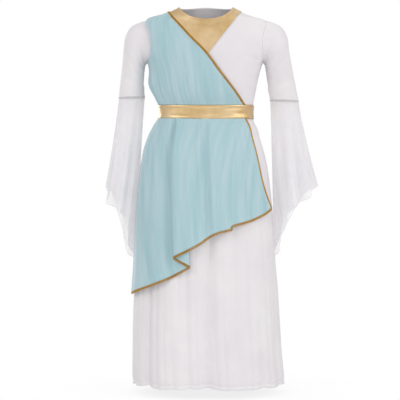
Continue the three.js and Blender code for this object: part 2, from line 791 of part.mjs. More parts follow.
const flap = flapGrid();
add('toga_skirt', wall(flap, CHIFFON), AQUA, 0.7);
const hemLine = flap[FLAP_ROWS];
const hemInside = flap[FLAP_ROWS - 1];
const sideDown = flap.slice(0, -1).map((line) => line[0]);
const sideInside = flap.slice(0, -1).map((line) => line[1]);
const cornerInside = flap[FLAP_ROWS][1].clone().add(hemInside[0]).multiplyScalar(0.5);
const braidEdge = [...sideDown, ...hemLine];
const braidInside = [...sideInside, cornerInside, ...hemInside.slice(1)];
add('braid_skirt', braidStrip(braidEdge, braidInside), DARK_GOLD, 0.4, 0.5);

// Button and the thread loop round it, lying on the back just below the neckline
const fastenHeight = NECK_BACK - BUTTON_DROP;
const fastenOut = wayOut(formPoint, FASTEN_TURN, fastenHeight);
const buttonMesh = add(
  'button',
  new THREE.CylinderGeometry(BUTTON_RADIUS, BUTTON_RADIUS, BUTTON_THICK, 16),
  WHITE,
  0.3,
);
buttonMesh.position.copy(moved(FASTEN_TURN, fastenHeight, JERSEY / 2 + BUTTON_SEAT + BUTTON_THICK / 2));
buttonMesh.quaternion.setFromUnitVectors(new THREE.Vector3(0, 1, 0), fastenOut);
const loopMesh = add('button_loop', new THREE.TorusGeometry(LOOP_RADIUS, LOOP_CORD / 2, 6, 18), WHITE, 0.7);
loopMesh.position.copy(moved(FASTEN_TURN, fastenHeight, JERSEY / 2 + LOOP_CORD / 2 + LOOP_SEAT));
loopMesh.quaternion.setFromUnitVectors(new THREE.Vector3(0, 0, 1), fastenOut);

export default dress;
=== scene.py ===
# %% [markdown]
# # A child's toga dress
# A stage costume sewn from five cloths: white stretch jersey for the dress, sheer white mesh for the
# flounces at the elbows, gold metallic cloth for the yoke and the waistband, pale aqua chiffon that hangs
# from one shoulder, and gold braid along the chiffon's free edges. Every piece is a thin shell on the form
# of its solid. Its creases are placed one by one, so they stay where the real cloth has them.

# %% Load the solids
import math
import bpy
import numpy as np
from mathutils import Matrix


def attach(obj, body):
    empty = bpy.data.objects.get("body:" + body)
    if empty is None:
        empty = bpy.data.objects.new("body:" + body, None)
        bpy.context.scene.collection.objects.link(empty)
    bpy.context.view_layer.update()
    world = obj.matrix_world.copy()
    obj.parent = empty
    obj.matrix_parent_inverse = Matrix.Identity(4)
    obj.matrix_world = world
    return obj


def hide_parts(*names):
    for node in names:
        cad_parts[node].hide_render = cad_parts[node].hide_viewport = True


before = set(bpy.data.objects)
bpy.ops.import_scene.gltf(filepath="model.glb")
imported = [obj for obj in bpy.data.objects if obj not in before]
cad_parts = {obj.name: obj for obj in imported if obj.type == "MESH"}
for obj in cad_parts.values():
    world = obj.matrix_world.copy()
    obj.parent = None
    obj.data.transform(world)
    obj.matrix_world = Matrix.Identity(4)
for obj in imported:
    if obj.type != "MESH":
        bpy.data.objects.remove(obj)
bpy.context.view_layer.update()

# %% [markdown]
# ## Camera, floor and light
# The dress is seen straight from the front, from about three metres away, through a long lens. A pale floor
# lies just below the hem. Large soft lights keep the white cloth bright, and the key light stands to the
# side, so that the folds still throw a little shade. The studio wall is seen as plain white, but it sends
# less light than that, a little more of it from the front and the top. A low light in front draws the
# streak on the band.

# %% Camera, floor and light
MM = 0.001
CAMERA_PLACE = (-0.015, -3.1, -0.4575)
CAMERA_LENS = 111.6
FLOOR_HEIGHT = -0.935


def srgb(red, green, blue):
    """A colour given as 0 to 255 on screen, as the linear numbers that shaders take."""
    channels = [value / 255 for value in (red, green, blue)]
    return tuple(c / 12.92 if c <= 0.04045 else ((c + 0.055) / 1.055) ** 2.4 for c in channels)


def add_node(tree, kind, links=(), **values):
    """A node with its settings, and a value or a link for each socket that is named."""
    node = tree.nodes.new(kind)
    for key, value in values.items():
        setattr(node, key, value)
    for socket, source in dict(links).items():
        if isinstance(source, bpy.types.NodeSocket):
            tree.links.new(source, node.inputs[socket])
        else:
            node.inputs[socket].default_value = source
    return node


scene = bpy.context.scene
scene.view_settings.view_transform = "Standard"
camera = bpy.data.objects.new("camera", bpy.data.cameras.new("camera"))
camera.location = CAMERA_PLACE
camera.rotation_euler = (math.pi / 2, 0, 0)
camera.data.lens = CAMERA_LENS
camera.data.sensor_width = 36
scene.collection.objects.link(camera)
scene.camera = camera

world = bpy.data.worlds.new("studio")
world.use_nodes = True
studio = world.node_tree
scene.world = world

WALL_LIGHT, WALL_LEAN = 0.68, (0.03, -0.12, 0.12)
direction = add_node(studio, "ShaderNodeTexCoord").outputs["Generated"]
lean = add_node(studio, "ShaderNodeVectorMath", {0: direction, 1: WALL_LEAN}, operation="DOT_PRODUCT")
wall_light = add_node(studio, "ShaderNodeMath", {0: lean.outputs["Value"], 1: WALL_LIGHT}).outputs[0]
seen = add_node(studio, "ShaderNodeLightPath").outputs["Is Camera Ray"]
level = add_node(studio, "ShaderNodeMix", {"Factor": seen, "A": wall_light, "B": 1.0}).outputs[0]
wall = studio.nodes["Background"]
wall.inputs["Color"].default_value = (1, 1, 1, 1)
studio.links.new(level, wall.inputs["Strength"])


def soft_light(name, place, aim, size, power):
    """A square area light that faces a point."""
    lamp = bpy.data.lights.new(name, "AREA")
    lamp.size = size
    lamp.energy = power
    light = bpy.data.objects.new(name, lamp)
    light.location = place
    way = np.array(aim) - np.array(place)
    tilt = math.atan2(math.hypot(way[0], way[1]), -way[2])
    light.rotation_euler = (tilt, 0, math.atan2(-way[0], way[1]))
    scene.collection.objects.link(light)


MIDDLE = (0, 0, -0.45)
soft_light("key_light", (-2.3, -1.9, 1.0), MIDDLE, 1.0, 14)
soft_light("fill_light", (2.5, -1.3, 1.0), MIDDLE, 1.4, 18)
soft_light("back_light", (-1.5, 2.2, 0.4), MIDDLE, 1.6, 20)
soft_light("low_light", (0.0, -2.4, -1.6), (0.02, 0, -0.24), 0.7, 8)

FLOOR_HALF = 0.6
FADE_FROM, FADE_TO, FLOOR_COVER = 0.1, 0.46, 0.2  # the floor is faint, and fades out round the dress
corners = [(FLOOR_HALF * x, FLOOR_HALF * y) for x, y in ((-1, -1), (1, -1), (1, 1), (-1, 1))]
floor_mesh = bpy.data.meshes.new("floor")
floor_mesh.from_pydata([(x, y, FLOOR_HEIGHT) for x, y in corners], [], [(0, 1, 2, 3)])
floor = bpy.data.objects.new("floor", floor_mesh)
floor_finish = bpy.data.materials.new("floor")
floor_finish.use_nodes = True
paper = floor_finish.node_tree
matt = paper.nodes["Principled BSDF"]
matt.inputs["Base Color"].default_value = (0.95, 0.95, 0.95, 1)
matt.inputs["Roughness"].default_value = 0.9
spot = add_node(paper, "ShaderNodeTexCoord").outputs["UV"]
far = add_node(paper, "ShaderNodeVectorMath", {0: spot}, operation="LENGTH").outputs["Value"]
fade = add_node(paper, "ShaderNodeMapRange", {
    "Value": far, "From Min": FADE_FROM, "From Max": FADE_TO, "To Min": FLOOR_COVER, "To Max": 0.0,
})
paper.links.new(fade.outputs["Result"], matt.inputs["Alpha"])
paper_map = floor_mesh.uv_layers.new(name="From the dress")
paper_map.data.foreach_set("uv", [number for x, y in corners for number in (x, y)])
floor_mesh.materials.append(floor_finish)
scene.collection.objects.link(floor)
print("camera", CAMERA_PLACE, "floor at", FLOOR_HEIGHT)

# %% [markdown]
# ## Small tables and smooth readings
# A dress is measured at a few levels, as a tailor does. Each table below holds one row for a level or a
# fold, and every reading between two rows runs smoothly, with no overshoot. All sizes in the tables are in
# millimetres, turns are in degrees round the body: 0 is the front middle, 90 is the side of the bare white
# shoulder, and 180 is the back middle.


# %% Tables and readings
def table(columns, rows, last=None):
    """Rows of numbers as named columns. A row that is one number short takes the last one from here."""
    names = columns.split()
    full = [row if len(row) == len(names) else (*row, last) for row in rows]
    return {name: np.array([row[at] for row in full], float) for at, name in enumerate(names)}


def smooth(value):
    """An even rise from 0 to 1 with soft ends."""
    t = np.clip(value, 0, 1)
    return t * t * (3 - 2 * t)


def mix(start, end, share):
    return start + (end - start) * share


def bump(value):
    """A soft hill, 1 at 0 and near 0 past 2."""
    return np.exp(-value * value)


def rimmed(value, rim, spread):
    """A soft hill in a shallow dip: cloth that rises in one place sinks beside it."""
    return bump(value) - rim * bump(value / spread)


def wrap(turn):
    """A turn brought between -180 and 180 degrees."""
    return (turn + 180) % 360 - 180


def read(rows, key, column, value):
    """A smooth reading of a column, level at its peaks."""
    x, y = rows[key], rows[column]
    if x[0] > x[-1]:
        x, y = x[::-1], y[::-1]
    step = np.diff(x)
    rise = np.diff(y) / step
    slope = np.zeros(len(x))
    same = rise[:-1] * rise[1:] > 0
    both = np.where(same, rise[:-1] + rise[1:], 1)
    slope[1:-1] = np.where(same, 2 * rise[:-1] * rise[1:] / both, 0)
    at = np.clip(np.searchsorted(x, value) - 1, 0, len(step) - 1)
    t = np.clip((value - x[at]) / step[at], 0, 1)
    ends = slope[at] * t * (1 - t) ** 2 - slope[at + 1] * t * t * (1 - t)
    return mix(y[at], y[at + 1], smooth(t)) + step[at] * ends


print("a quarter of the way along, the even rise stands at", round(float(smooth(0.25)), 3))

# %% [markdown]
# ## The dress's outline
# The form is a stack of rounded rings, a little squarer than an ellipse. Each level has its half width and
# how far its front and back stand off the side seams. A fold is then only a distance in or out of this
# form.

# %% The form
SEAM = 0.3
NECK_POINT, NECK_FRONT, NECK_BACK = 22, -14, 31
SHOULDER_TIP, ARMPIT, ARMHOLE_TURN = -10, -114, 25
BAND_TOP, BAND_BOTTOM, HEM = -222, -255, -915
FORM = table("z shift width front back", [
    (30, 0, 56, 45, 51), (22, 0, 65, 48, 54), (14, 0, 80, 51, 57), (6, 0, 98, 54, 60), (-2, 0, 121, 57, 63),
    (-10, 0, 147, 60, 65), (-25, 0, 157, 64, 67), (-60, 0, 156, 74, 71), (-95, 0, 150, 82, 74),
    (-122, 0, 139, 85, 74), (-150, 0, 131, 86, 73), (-190, 0, 123, 83, 70), (-222, 0, 117, 79, 68),
    (-240, 0, 115, 78, 68), (-256, 0, 117, 79, 70), (-280, 0, 128, 84, 78), (-307, -2, 137, 90, 88),
    (-337, -3, 147, 96, 96), (-380, -2.5, 156, 102, 103), (-457, -2, 165, 112, 112),
    (-532, -1.5, 170.5, 119, 118), (-607, -1, 174, 124, 122), (-682, 0, 180, 128, 126),
    (-757, 1, 184, 131, 129), (-832, 3, 187, 134, 131), (-900, 6, 190, 137, 133), (-935, 8, 190, 138, 134),
])
RING_POWER, RING_FLATNESS, RING_SAMPLES = 2.25, 0.7, 2880
WAIST_SAG, SAG_Z, SAG_TALL = 5.0, -240, 75  # the front of the waist hangs lower than its sides
TURN_STEP, LEVEL_STEP = 1, 3  # how far apart two points are read to find a direction

ring_angle = np.linspace(0, math.pi, RING_SAMPLES + 1)
ring_across = np.abs(np.sin(ring_angle)) ** (2 / RING_POWER)
ring_along = -np.sign(np.cos(ring_angle)) * np.abs(np.cos(ring_angle)) ** (2 / RING_POWER)
ring_steps = np.hypot(np.diff(ring_across), RING_FLATNESS * np.diff(ring_along))
ring_turn = np.concatenate([[0], np.cumsum(ring_steps)]) * 180 / ring_steps.sum()


def form(turn, z):
    """A point of the plain outline."""
    turn, z = np.broadcast_arrays(np.asarray(turn, float), np.asarray(z, float))
    wrapped = wrap(turn)
    across = np.sign(wrapped) * np.interp(np.abs(wrapped), ring_turn, ring_across)
    along = np.interp(np.abs(wrapped), ring_turn, ring_along)
    depth = np.where(along < 0, read(FORM, "z", "front", z), read(FORM, "z", "back", z))
    x = read(FORM, "z", "shift", z) + read(FORM, "z", "width", z) * across
    sag = WAIST_SAG * bump((z - SAG_Z) / SAG_TALL) * np.clip(-along, 0, 1) ** 2
    return np.stack([x, depth * along, z - sag], axis=-1)


def way_out(turn, z):
    """The outward direction of the plain outline."""
    around = form(turn + TURN_STEP, z) - form(turn - TURN_STEP, z)
    normal = np.cross(around, form(turn, z + LEVEL_STEP) - form(turn, z - LEVEL_STEP))
    return normal / np.linalg.norm(normal, axis=-1, keepdims=True)


def moved(turn, z, out):
    """A point moved out from the outline."""
    turn, z, out = np.broadcast_arrays(turn, z, out)
    return form(turn, z) + way_out(turn, z) * out[..., None]


waist_front = np.diff(form(np.arange(-90, 91), SAG_Z), axis=0)
print("waist round", round(2 * np.linalg.norm(waist_front, axis=1).sum()), "mm")

# %% [markdown]
# ## From a grid of points to cloth
# Cloth is a grid: rows run round it and columns run down it. The texture coordinates are the real lengths
# along both, in metres, so that a weave keeps its size however the piece is bent. Solidify then gives the
# shell its thickness.


# %% Grid to cloth
def lengths(points, axis):
    """Distances run along one axis of a grid."""
    steps = np.linalg.norm(np.diff(points, axis=axis), axis=2)
    start = np.zeros_like(np.take(steps, [0], axis=axis))
    return np.concatenate([start, np.cumsum(steps, axis=axis)], axis=axis)


def faces_out(points, closed):
    """Whether the grid's faces, taken row by row, point away from the middle."""
    across = points[:-1, 1:] - points[:-1, :-1]
    up = points[1:, :-1] - points[:-1, :-1]
    middle = points[:-1].mean(axis=1, keepdims=True) if closed else np.zeros((1, 1, 3))
    away = points[:-1, :-1] - middle
    away[..., 2] = 0
    return (np.cross(across, up) * away).sum() > 0


def new_piece(name, vertices, faces, material):
    """A smooth mesh object in metres, from points in millimetres."""
    mesh = bpy.data.meshes.new(name)
    mesh.from_pydata((np.asarray(vertices) * MM).tolist(), [], [tuple(face) for face in faces])
    mesh.polygons.foreach_set("use_smooth", [True] * len(mesh.polygons))
    mesh.materials.append(material)
    piece = bpy.data.objects.new(name, mesh)
    scene.collection.objects.link(piece)
    return piece


def cloth(name, points, thick, material, closed=False, across=None):
    """A sheet through a grid of points, with lengths as its UV map, or given places across it."""
    rows, columns = points.shape[:2]
    ring = np.concatenate([points, points[:, :1]], axis=1) if closed else points
    u, v = lengths(ring, 1) * MM, lengths(ring, 0) * MM
    u = u - u[:, -1:] / 2 if across is None else across * MM
    row, column = np.mgrid[0:rows - 1, 0:columns - (0 if closed else 1)]
    row, column = row.ravel(), column.ravel()
    around = [(row, column), (row, column + 1), (row + 1, column + 1), (row + 1, column)]
    if not faces_out(points, closed):
        around = around[::-1]
    faces = np.stack([r * columns + c % columns for r, c in around], axis=1)
    piece = new_piece(name, points.reshape(-1, 3), faces.tolist(), material)
    layer = piece.data.uv_layers.new(name="Cloth")
    coordinates = np.stack([np.stack([u[r, c], v[r, c]], axis=1) for r, c in around], axis=1)
    layer.data.foreach_set("uv", coordinates.ravel())
    wall = piece.modifiers.new("thickness", "SOLIDIFY")
    wall.thickness = thick * MM
    wall.offset = 0
    return piece


def belongs(piece, slot, *nodes):
    """Hangs a piece on the root and hides the solids that it stands for; the slot, its finish, is not used.
    """
    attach(piece, "root")
    if nodes:
        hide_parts(*nodes)


# %% [markdown]
# ## Cloth finishes
# Each cloth has its own weave, sheen and small unevenness. The weave reads the piece's UV map, in metres,
# so one helper turns threads per centimetre into a wave's scale. Slow noise on object coordinates varies
# the tone a little, as light dust, dye and handling do.


# %% Node helpers
WAVES_PER_UNIT = 20 / (2 * math.pi)  # a wave texture's bands in one unit at scale 1


def threads(per_centimetre):
    """The wave scale that gives this many threads to the centimetre on a UV map in metres."""
    return per_centimetre * 100 / WAVES_PER_UNIT


class Finish:
    """A material with a shader and short calls to add nodes."""

    def __init__(self, name):
        self.material = bpy.data.materials.new(name)
        self.material.use_nodes = True
        self.tree = self.material.node_tree
        self.shader = self.tree.nodes["Principled BSDF"]
        self.place = self.add("ShaderNodeTexCoord").outputs

    def add(self, kind, links=(), **values):
        return add_node(self.tree, kind, links, **values)

    def set(self, **values):
        for key, value in values.items():
            self.shader.inputs[key.replace("_", " ")].default_value = value

    def link(self, source, socket):
        self.tree.links.new(source, self.shader.inputs[socket])

    def stretched(self, scale):
        """The UV map scaled along each axis."""
        return self.add("ShaderNodeMapping", {"Vector": self.place["UV"], "Scale": scale}).outputs[0]

    def noise(self, vector, scale, detail=3.0, rough=0.55):
        values = {"Vector": vector, "Scale": scale, "Detail": detail, "Roughness": rough}
        return self.add("ShaderNodeTexNoise", values).outputs["Fac"]

    def wave(self, vector, scale, direction, distortion=0.0):
        values = {"Vector": vector, "Scale": scale, "Distortion": distortion}
        return self.add("ShaderNodeTexWave", values, bands_direction=direction).outputs["Fac"]

    def math(self, operation, first, second):
        return self.add("ShaderNodeMath", {0: first, 1: second}, operation=operation).outputs[0]

    def weave(self, operation, across, along, bend_across, bend_along):
        """A height for threads that cross, from how many lie in a centimetre and how far each way bends."""
        warp = self.wave(self.place["UV"], threads(across), "X", bend_across)
        weft = self.wave(self.place["UV"], threads(along), "Y", bend_along)
        return self.math(operation, warp, weft)

    def between(self, value, low, high):
        """A value from 0 to 1, brought between two others."""
        return self.add("ShaderNodeMapRange", {"Value": value, "To Min": low, "To Max": high}).outputs[0]

    def tint(self, factor, low, high, start=0.0, end=1.0):
        """A colour between two tones."""
        node = self.add("ShaderNodeValToRGB", {"Fac": factor})
        for stop, position, colour in zip(node.color_ramp.elements, (start, end), (low, high)):
            stop.position, stop.color = position, (*colour, 1)
        return node.outputs["Color"]

    def relief(self, height, distance, strength=1.0, onto=None):
        links = {"Height": height, "Distance": distance, "Strength": strength}
        if onto is not None:
            links["Normal"] = onto
        return self.add("ShaderNodeBump", links).outputs["Normal"]


# %% [markdown]
# ### White jersey and sheer mesh
# Jersey is a matt knit with fine upright ribs. The mesh of the flounces is the same white, thinner, and
# light passes through it, so its alpha is below one and its weave shows as a fine grid.


# %% Jersey and mesh
MIX_FACTOR, MIX_A, MIX_B, MIX_COLOUR = 0, 6, 7, 2  # a colour mix node's sockets, and its output


def jersey_finish():
    jersey = Finish("white_jersey")
    knit = jersey.weave("MULTIPLY", 11, 15, 0.4, 0.6)
    cloudy = jersey.noise(jersey.place["Object"], 9, 4)
    tone = jersey.tint(cloudy, srgb(232, 227, 230), srgb(241, 238, 239), 0.3, 0.7)
    shade = jersey.tint(knit, (0.93, 0.93, 0.94), (1, 1, 1))
    both = jersey.add("ShaderNodeMix", {MIX_FACTOR: 1.0, MIX_A: tone, MIX_B: shade},
                      data_type="RGBA", blend_type="MULTIPLY")
    jersey.link(both.outputs[MIX_COLOUR], "Base Color")
    soft = jersey.relief(cloudy, 0.0006, 0.5)
    jersey.link(jersey.relief(knit, 0.00012, 0.6, soft), "Normal")
    jersey.set(Roughness=0.78, Sheen_Weight=0.25, Sheen_Roughness=0.5)
    return jersey.material


JERSEY_CLOTH = jersey_finish()


def mesh_finish():
    voile = Finish("sheer_mesh")
    grid = voile.weave("MAXIMUM", 8, 8, 0.3, 0.3)
    cloudy = voile.noise(voile.place["Object"], 14, 3)
    voile.link(voile.tint(cloudy, srgb(236, 234, 239), srgb(246, 243, 245), 0.3, 0.7), "Base Color")
    voile.link(voile.between(grid, 0.2, 0.34), "Alpha")
    voile.link(voile.relief(grid, 0.0001, 0.4), "Normal")
    voile.set(Roughness=0.7, Sheen_Weight=0.3, Sheen_Roughness=0.4)
    return voile.material


MESH_CLOTH = mesh_finish()
print("finishes", JERSEY_CLOTH.name, MESH_CLOTH.name)

# %% [markdown]
# ### Gold metallic cloth
# The yoke and the waistband are a knit with a metallic face. It isn't a mirror: its threads scatter light,
# so the highlights are broad and soft. A metal shader with a fairly high roughness gives that, and fine
# noise makes the threads glint unevenly.


# %% Gold cloth
def lame_finish():
    lame = Finish("gold_cloth")
    weave = lame.weave("MULTIPLY", 10, 12, 0.5, 0.5)
    glint = lame.noise(lame.stretched((900, 500, 1)), 1, 2)
    cloudy = lame.noise(lame.place["Object"], 16, 4)
    lame.link(lame.tint(cloudy, srgb(209, 174, 119), srgb(240, 213, 170), 0.3, 0.72), "Base Color")
    lame.link(lame.between(glint, 0.28, 0.44), "Roughness")
    soft = lame.relief(cloudy, 0.0012, 0.35)
    lame.link(lame.relief(lame.math("ADD", weave, glint), 0.00012, 0.5, soft), "Normal")
    lame.set(Metallic=0.82, Sheen_Weight=0.1)
    return lame.material


GOLD_CLOTH = lame_finish()
print("finish", GOLD_CLOTH.name)

# %% [markdown]
# ### Aqua chiffon
# Chiffon is a crisp, sheer cloth with a crinkle that runs with its length. Fine stretched noise on the UV map
# gives long faint crinkle streaks, in tone and in relief. Broader noise paints soft lengthwise bands of fold
# shade into the tone. It hangs over white jersey, which shines through a little, so its alpha stays high and
# its tone does the rest.


# %% Chiffon
def chiffon_finish():
    chiffon = Finish("aqua_chiffon")
    streaks = chiffon.noise(chiffon.stretched((230, 6, 1)), 1, 3, 0.6)
    # broader noise: painted fold shade, soft darker and lighter lengthwise bands
    painted_fold_bands = chiffon.noise(chiffon.stretched((45, 4, 1)), 1, 3)
    weave = chiffon.weave("MAXIMUM", 12, 12, 0.8, 0.8)
    both = chiffon.math("ADD", chiffon.math("MULTIPLY", streaks, 0.3), chiffon.math("MULTIPLY", painted_fold_bands, 0.7))
    # the tone mixes the real crinkle streaks with the painted fold shade
    chiffon.link(chiffon.tint(both, srgb(170, 212, 219), srgb(204, 227, 234), 0.32, 0.68), "Base Color")
    chiffon.link(chiffon.between(weave, 0.66, 0.78), "Alpha")
    crinkle = chiffon.relief(streaks, 0.0006, 0.4)
    chiffon.link(chiffon.relief(weave, 0.0001, 0.4, crinkle), "Normal")
    chiffon.set(Roughness=0.62, Sheen_Weight=0.6, Sheen_Roughness=0.4)
    return chiffon.material


CHIFFON_CLOTH = chiffon_finish()
print("finish", CHIFFON_CLOTH.name)

# %% [markdown]
# ### Braid, thread and button
# The braid is plied from dark metallic thread. The sewing thread is plain polyester, a little glossier than
# the cloth, and the button is cast plastic with a faint pearl.


# %% Braid, thread and button
def plied_finish(name, low, high, metallic, roughness):
    """Twisted thread: fine turns across each link, with painted shade where they meet."""
    thread = Finish(name)
    plies = thread.wave(thread.place["Object"], threads(22), "DIAGONAL", 1.5)
    cloudy = thread.noise(thread.place["Object"], 120, 2)
    # painted shade: the colour darkens in the grooves between the plies, with a little random tone from the
    # noise
    both = thread.math("MULTIPLY", plies, thread.math("ADD", cloudy, 0.4))
    thread.link(thread.tint(both, low, high, 0.1, 0.8), "Base Color")
    thread.link(thread.relief(plies, 0.0001, 0.6), "Normal")
    thread.set(Metallic=metallic, Roughness=roughness)
    return thread.material


BRAID_THREAD = plied_finish("gold_braid", srgb(150, 108, 32), srgb(232, 186, 96), 0.6, 0.4)
SEWING_THREAD = plied_finish("white_thread", srgb(240, 237, 240), srgb(252, 250, 252), 0.0, 0.55)
GOLD_THREAD = plied_finish("gold_thread", srgb(176, 138, 80), srgb(226, 192, 138), 0.5, 0.45)


def button_finish():
    shell = Finish("button_shell")
    swirl = shell.noise(shell.place["Object"], 260, 4)
    shell.link(shell.tint(swirl, srgb(226, 222, 214), srgb(247, 244, 238), 0.3, 0.7), "Base Color")
    shell.link(shell.relief(swirl, 0.00005, 0.3), "Normal")
    shell.set(Roughness=0.22, Coat_Weight=0.4, Coat_Roughness=0.1)
    return shell.material


BUTTON_SHELL = button_finish()
print("finishes", [m.name for m in bpy.data.materials])

# %% [markdown]
# ## Bodice
# The front is one panel and the back is two, which meet at the middle. Level rows climb to the base of the
# neck and then rise towards the neckline, and the side edges are cut in round the armholes. The jersey is
# stretched smooth over the chest, so it has only a few soft creases, which run out from the armpits.

# %% Bodice
JERSEY, CHIFFON, LAME, BAND = 1.0, 0.5, 0.9, 1.6  # how thick each cloth is shown
SIDE, BACK, FAR_SIDE = 90.0, 180.0, 270.0  # a side seam, the back middle, the other seam round the back
NECK_BASE, NECK_ROUNDING, ARMHOLE_ROUNDNESS = -42, 0.22, 0.4
NECK_DIP, DIP_BELOW, DIP_SLOPE, DIP_TALL, DIP_TURN = 3.6, 12, 0.02, 7, 24
BELOW_ROWS, ARMHOLE_ROWS, NECK_ROWS = 30, 44, 16
FRONT_COLUMNS, BACK_COLUMNS = 110, 60


def armhole_inset(z):
    """How far the armhole's edge lies from the side seam, in degrees."""
    middle, half = (ARMPIT + SHOULDER_TIP) / 2, (SHOULDER_TIP - ARMPIT) / 2
    return ARMHOLE_TURN * np.clip(1 - ((z - middle) / half) ** 2, 0, None) ** ARMHOLE_ROUNDNESS


def front_neck(turn):
    across = np.sin(np.radians(np.abs(turn)))
    full = math.hypot(1, NECK_ROUNDING) - NECK_ROUNDING
    return mix(NECK_FRONT, NECK_POINT, (np.hypot(across, NECK_ROUNDING) - NECK_ROUNDING) / full)


def back_neck(turn):
    return mix(NECK_POINT, NECK_BACK, smooth((np.abs(turn) - 90) / 90))


armhole_levels = mix(ARMPIT, SHOULDER_TIP, (1 - np.cos(np.linspace(0, math.pi, ARMHOLE_ROWS + 1))) / 2)
bodice_levels = np.concatenate([
    np.linspace(BAND_TOP - 2, ARMPIT, BELOW_ROWS)[:-1], armhole_levels,
    np.linspace(SHOULDER_TIP, NECK_POINT, NECK_ROWS)[1:],
])

BODICE_CREASES = table("turn_a z_a turn_b z_b depth width", [
    (76, -112, 58, -74, 2.8, 6), (66, -118, 44, -100, 1.5, 7), (74, -126, 50, -128, 1.1, 7),
    (64, -84, 60, -52, 1.5, 6), (80, -150, 58, -162, 0.9, 8), (84, -190, 56, -182, 1.0, 7),
    (30, -213, 48, -205, 0.8, 5), (70, -208, 84, -200, 0.9, 6), (20, -70, 40, -88, 0.5, 9),
    (108, -112, 130, -88, 1.5, 7), (112, -120, 138, -110, 1.2, 8), (104, -150, 134, -158, 1.0, 8),
    (150, -196, 176, -205, 1.1, 7), (122, -204, 150, -186, 1.0, 7), (104, -84, 112, -50, 1.4, 7),
    (-108, -112, -128, -86, 1.5, 7), (-112, -122, -140, -112, 1.1, 8), (-106, -152, -136, -160, 1.0, 8),
    (-150, -198, -178, -206, 1.1, 7), (-120, -206, -148, -188, 1.0, 7), (-104, -86, -113, -52, 1.4, 7),
    (-170, -60, -150, -20, 0.7, 9), (168, -66, 148, -24, 0.7, 9), (-168, -140, -150, -150, 0.6, 9),
])
DEGREE = 1.6  # about the millimetres in a degree of turn
CREASE_RIM, RIM_AWAY = 0.45, 1.7  # how high a crease's one rim stands, and how many widths away
CREASE_RISE, CREASE_FALL = 0.3, 0.5  # the shares of its length over which a crease begins and ends
EDGE_CALM = 12  # creases die out this far from a panel's edges


def creases(rows, turn, z):
    """How far soft creases along straight lines draw the cloth in."""
    depth = np.zeros(np.broadcast(turn, z).shape)
    for turn_a, z_a, turn_b, z_b, deep, width in zip(*rows.values()):
        along = np.array([(turn_b - turn_a) * DEGREE, z_b - z_a])
        length = np.hypot(*along)
        along /= length
        x, y = (turn - turn_a) * DEGREE, z - z_a
        reach = (x * along[0] + y * along[1]) / length
        aside = x * along[1] - y * along[0]
        ends = smooth(reach / CREASE_RISE + 0.3) * smooth((1 - reach) / CREASE_FALL + 0.2)
        depth += deep * ends * (bump(aside / width) - CREASE_RIM * bump(aside / width - RIM_AWAY))
    return depth


def neck_dip(turn, below):
    """How far the cloth sinks just below the front neckline."""
    return NECK_DIP * bump((below - DIP_BELOW - DIP_SLOPE * np.abs(turn)) / DIP_TALL) * bump(turn / DIP_TURN)


def bodice_panel(start, stop, columns, neckline):
    """Points of a bodice panel between two turns."""
    level = bodice_levels[:, None]
    inward = np.sign(stop - start)
    cut = armhole_inset(level)
    near = start + inward * cut * (abs(abs(start) - SIDE) < 1)
    far = stop - inward * cut * (abs(abs(stop) - SIDE) < 1)
    turn = mix(near, far, np.linspace(0, 1, columns + 1)[None, :])
    rise = np.clip((level - NECK_BASE) / (NECK_POINT - NECK_BASE), 0, None)
    z = np.where(rise > 0, mix(NECK_BASE, neckline(turn), rise), level + 0 * turn)
    from_near, from_far = np.abs(turn - near) * DEGREE, np.abs(far - turn) * DEGREE
    inside = smooth(from_near / EDGE_CALM) * smooth(from_far / EDGE_CALM)
    return moved(turn, z, -creases(BODICE_CREASES, turn, z) * inside - neck_dip(turn, neckline(turn) - z))


def bodice(name, points):
    piece = cloth(name + "_cloth", points, JERSEY, JERSEY_CLOTH)
    belongs(piece, "jersey", name)


bodice("bodice_front", bodice_panel(-SIDE, SIDE, FRONT_COLUMNS, front_neck))
for name, side in (("bodice_back_left", -1), ("bodice_back_right", 1)):
    panel = bodice_panel(side * SIDE, side * BACK, BACK_COLUMNS, back_neck)
    bodice(name, panel)
print("bodice rows", len(bodice_levels))

# %% [markdown]
# ## Yoke
# A gold V fills the neckline. It hangs straight from the shoulder seams to a point on the chest, on top of
# the jersey, and its neck edge is turned under, which leaves a thin bright lip. Just below the lip the
# cloth dips a little, as it does where a turned edge pulls.

# %% Yoke
YOKE_SHOULDER, YOKE_TIP, YOKE_LIFT = 10, -106, 1.7
YOKE_UNDERLAP = 1.1  # the left half reaches under the braid
LIP_HEIGHT, LIP_TALL, YOKE_HEM_HEIGHT, YOKE_HEM_TALL = 0.6, 2.2, 0.4, 2.5
YOKE_PULL, PULL_MIDDLE, PULL_TALL = 0.5, 0.5, 0.35
SHOULDER_LIFT, SHOULDER_TURN = 0.85, 25  # the yoke lies lower where the shoulder seam holds it
YOKE_COLUMNS, YOKE_ROWS = 121, 41
HALVINGS = 40  # how often a range is halved to find a place in it


def yoke_low(turn):
    """The height of the V's lower edge at a turn, found by halving."""
    wide = read(FORM, "z", "width", np.array(float(YOKE_SHOULDER))) * np.where(turn < 0, YOKE_UNDERLAP, 1)
    low, high = np.zeros_like(turn), np.ones_like(turn)
    for _ in range(HALVINGS):
        share = (low + high) / 2
        beyond = np.abs(form(turn, mix(YOKE_TIP, YOKE_SHOULDER, share))[..., 0]) > wide * share
        low, high = np.where(beyond, share, low), np.where(beyond, high, share)
    return mix(YOKE_TIP, YOKE_SHOULDER, low)


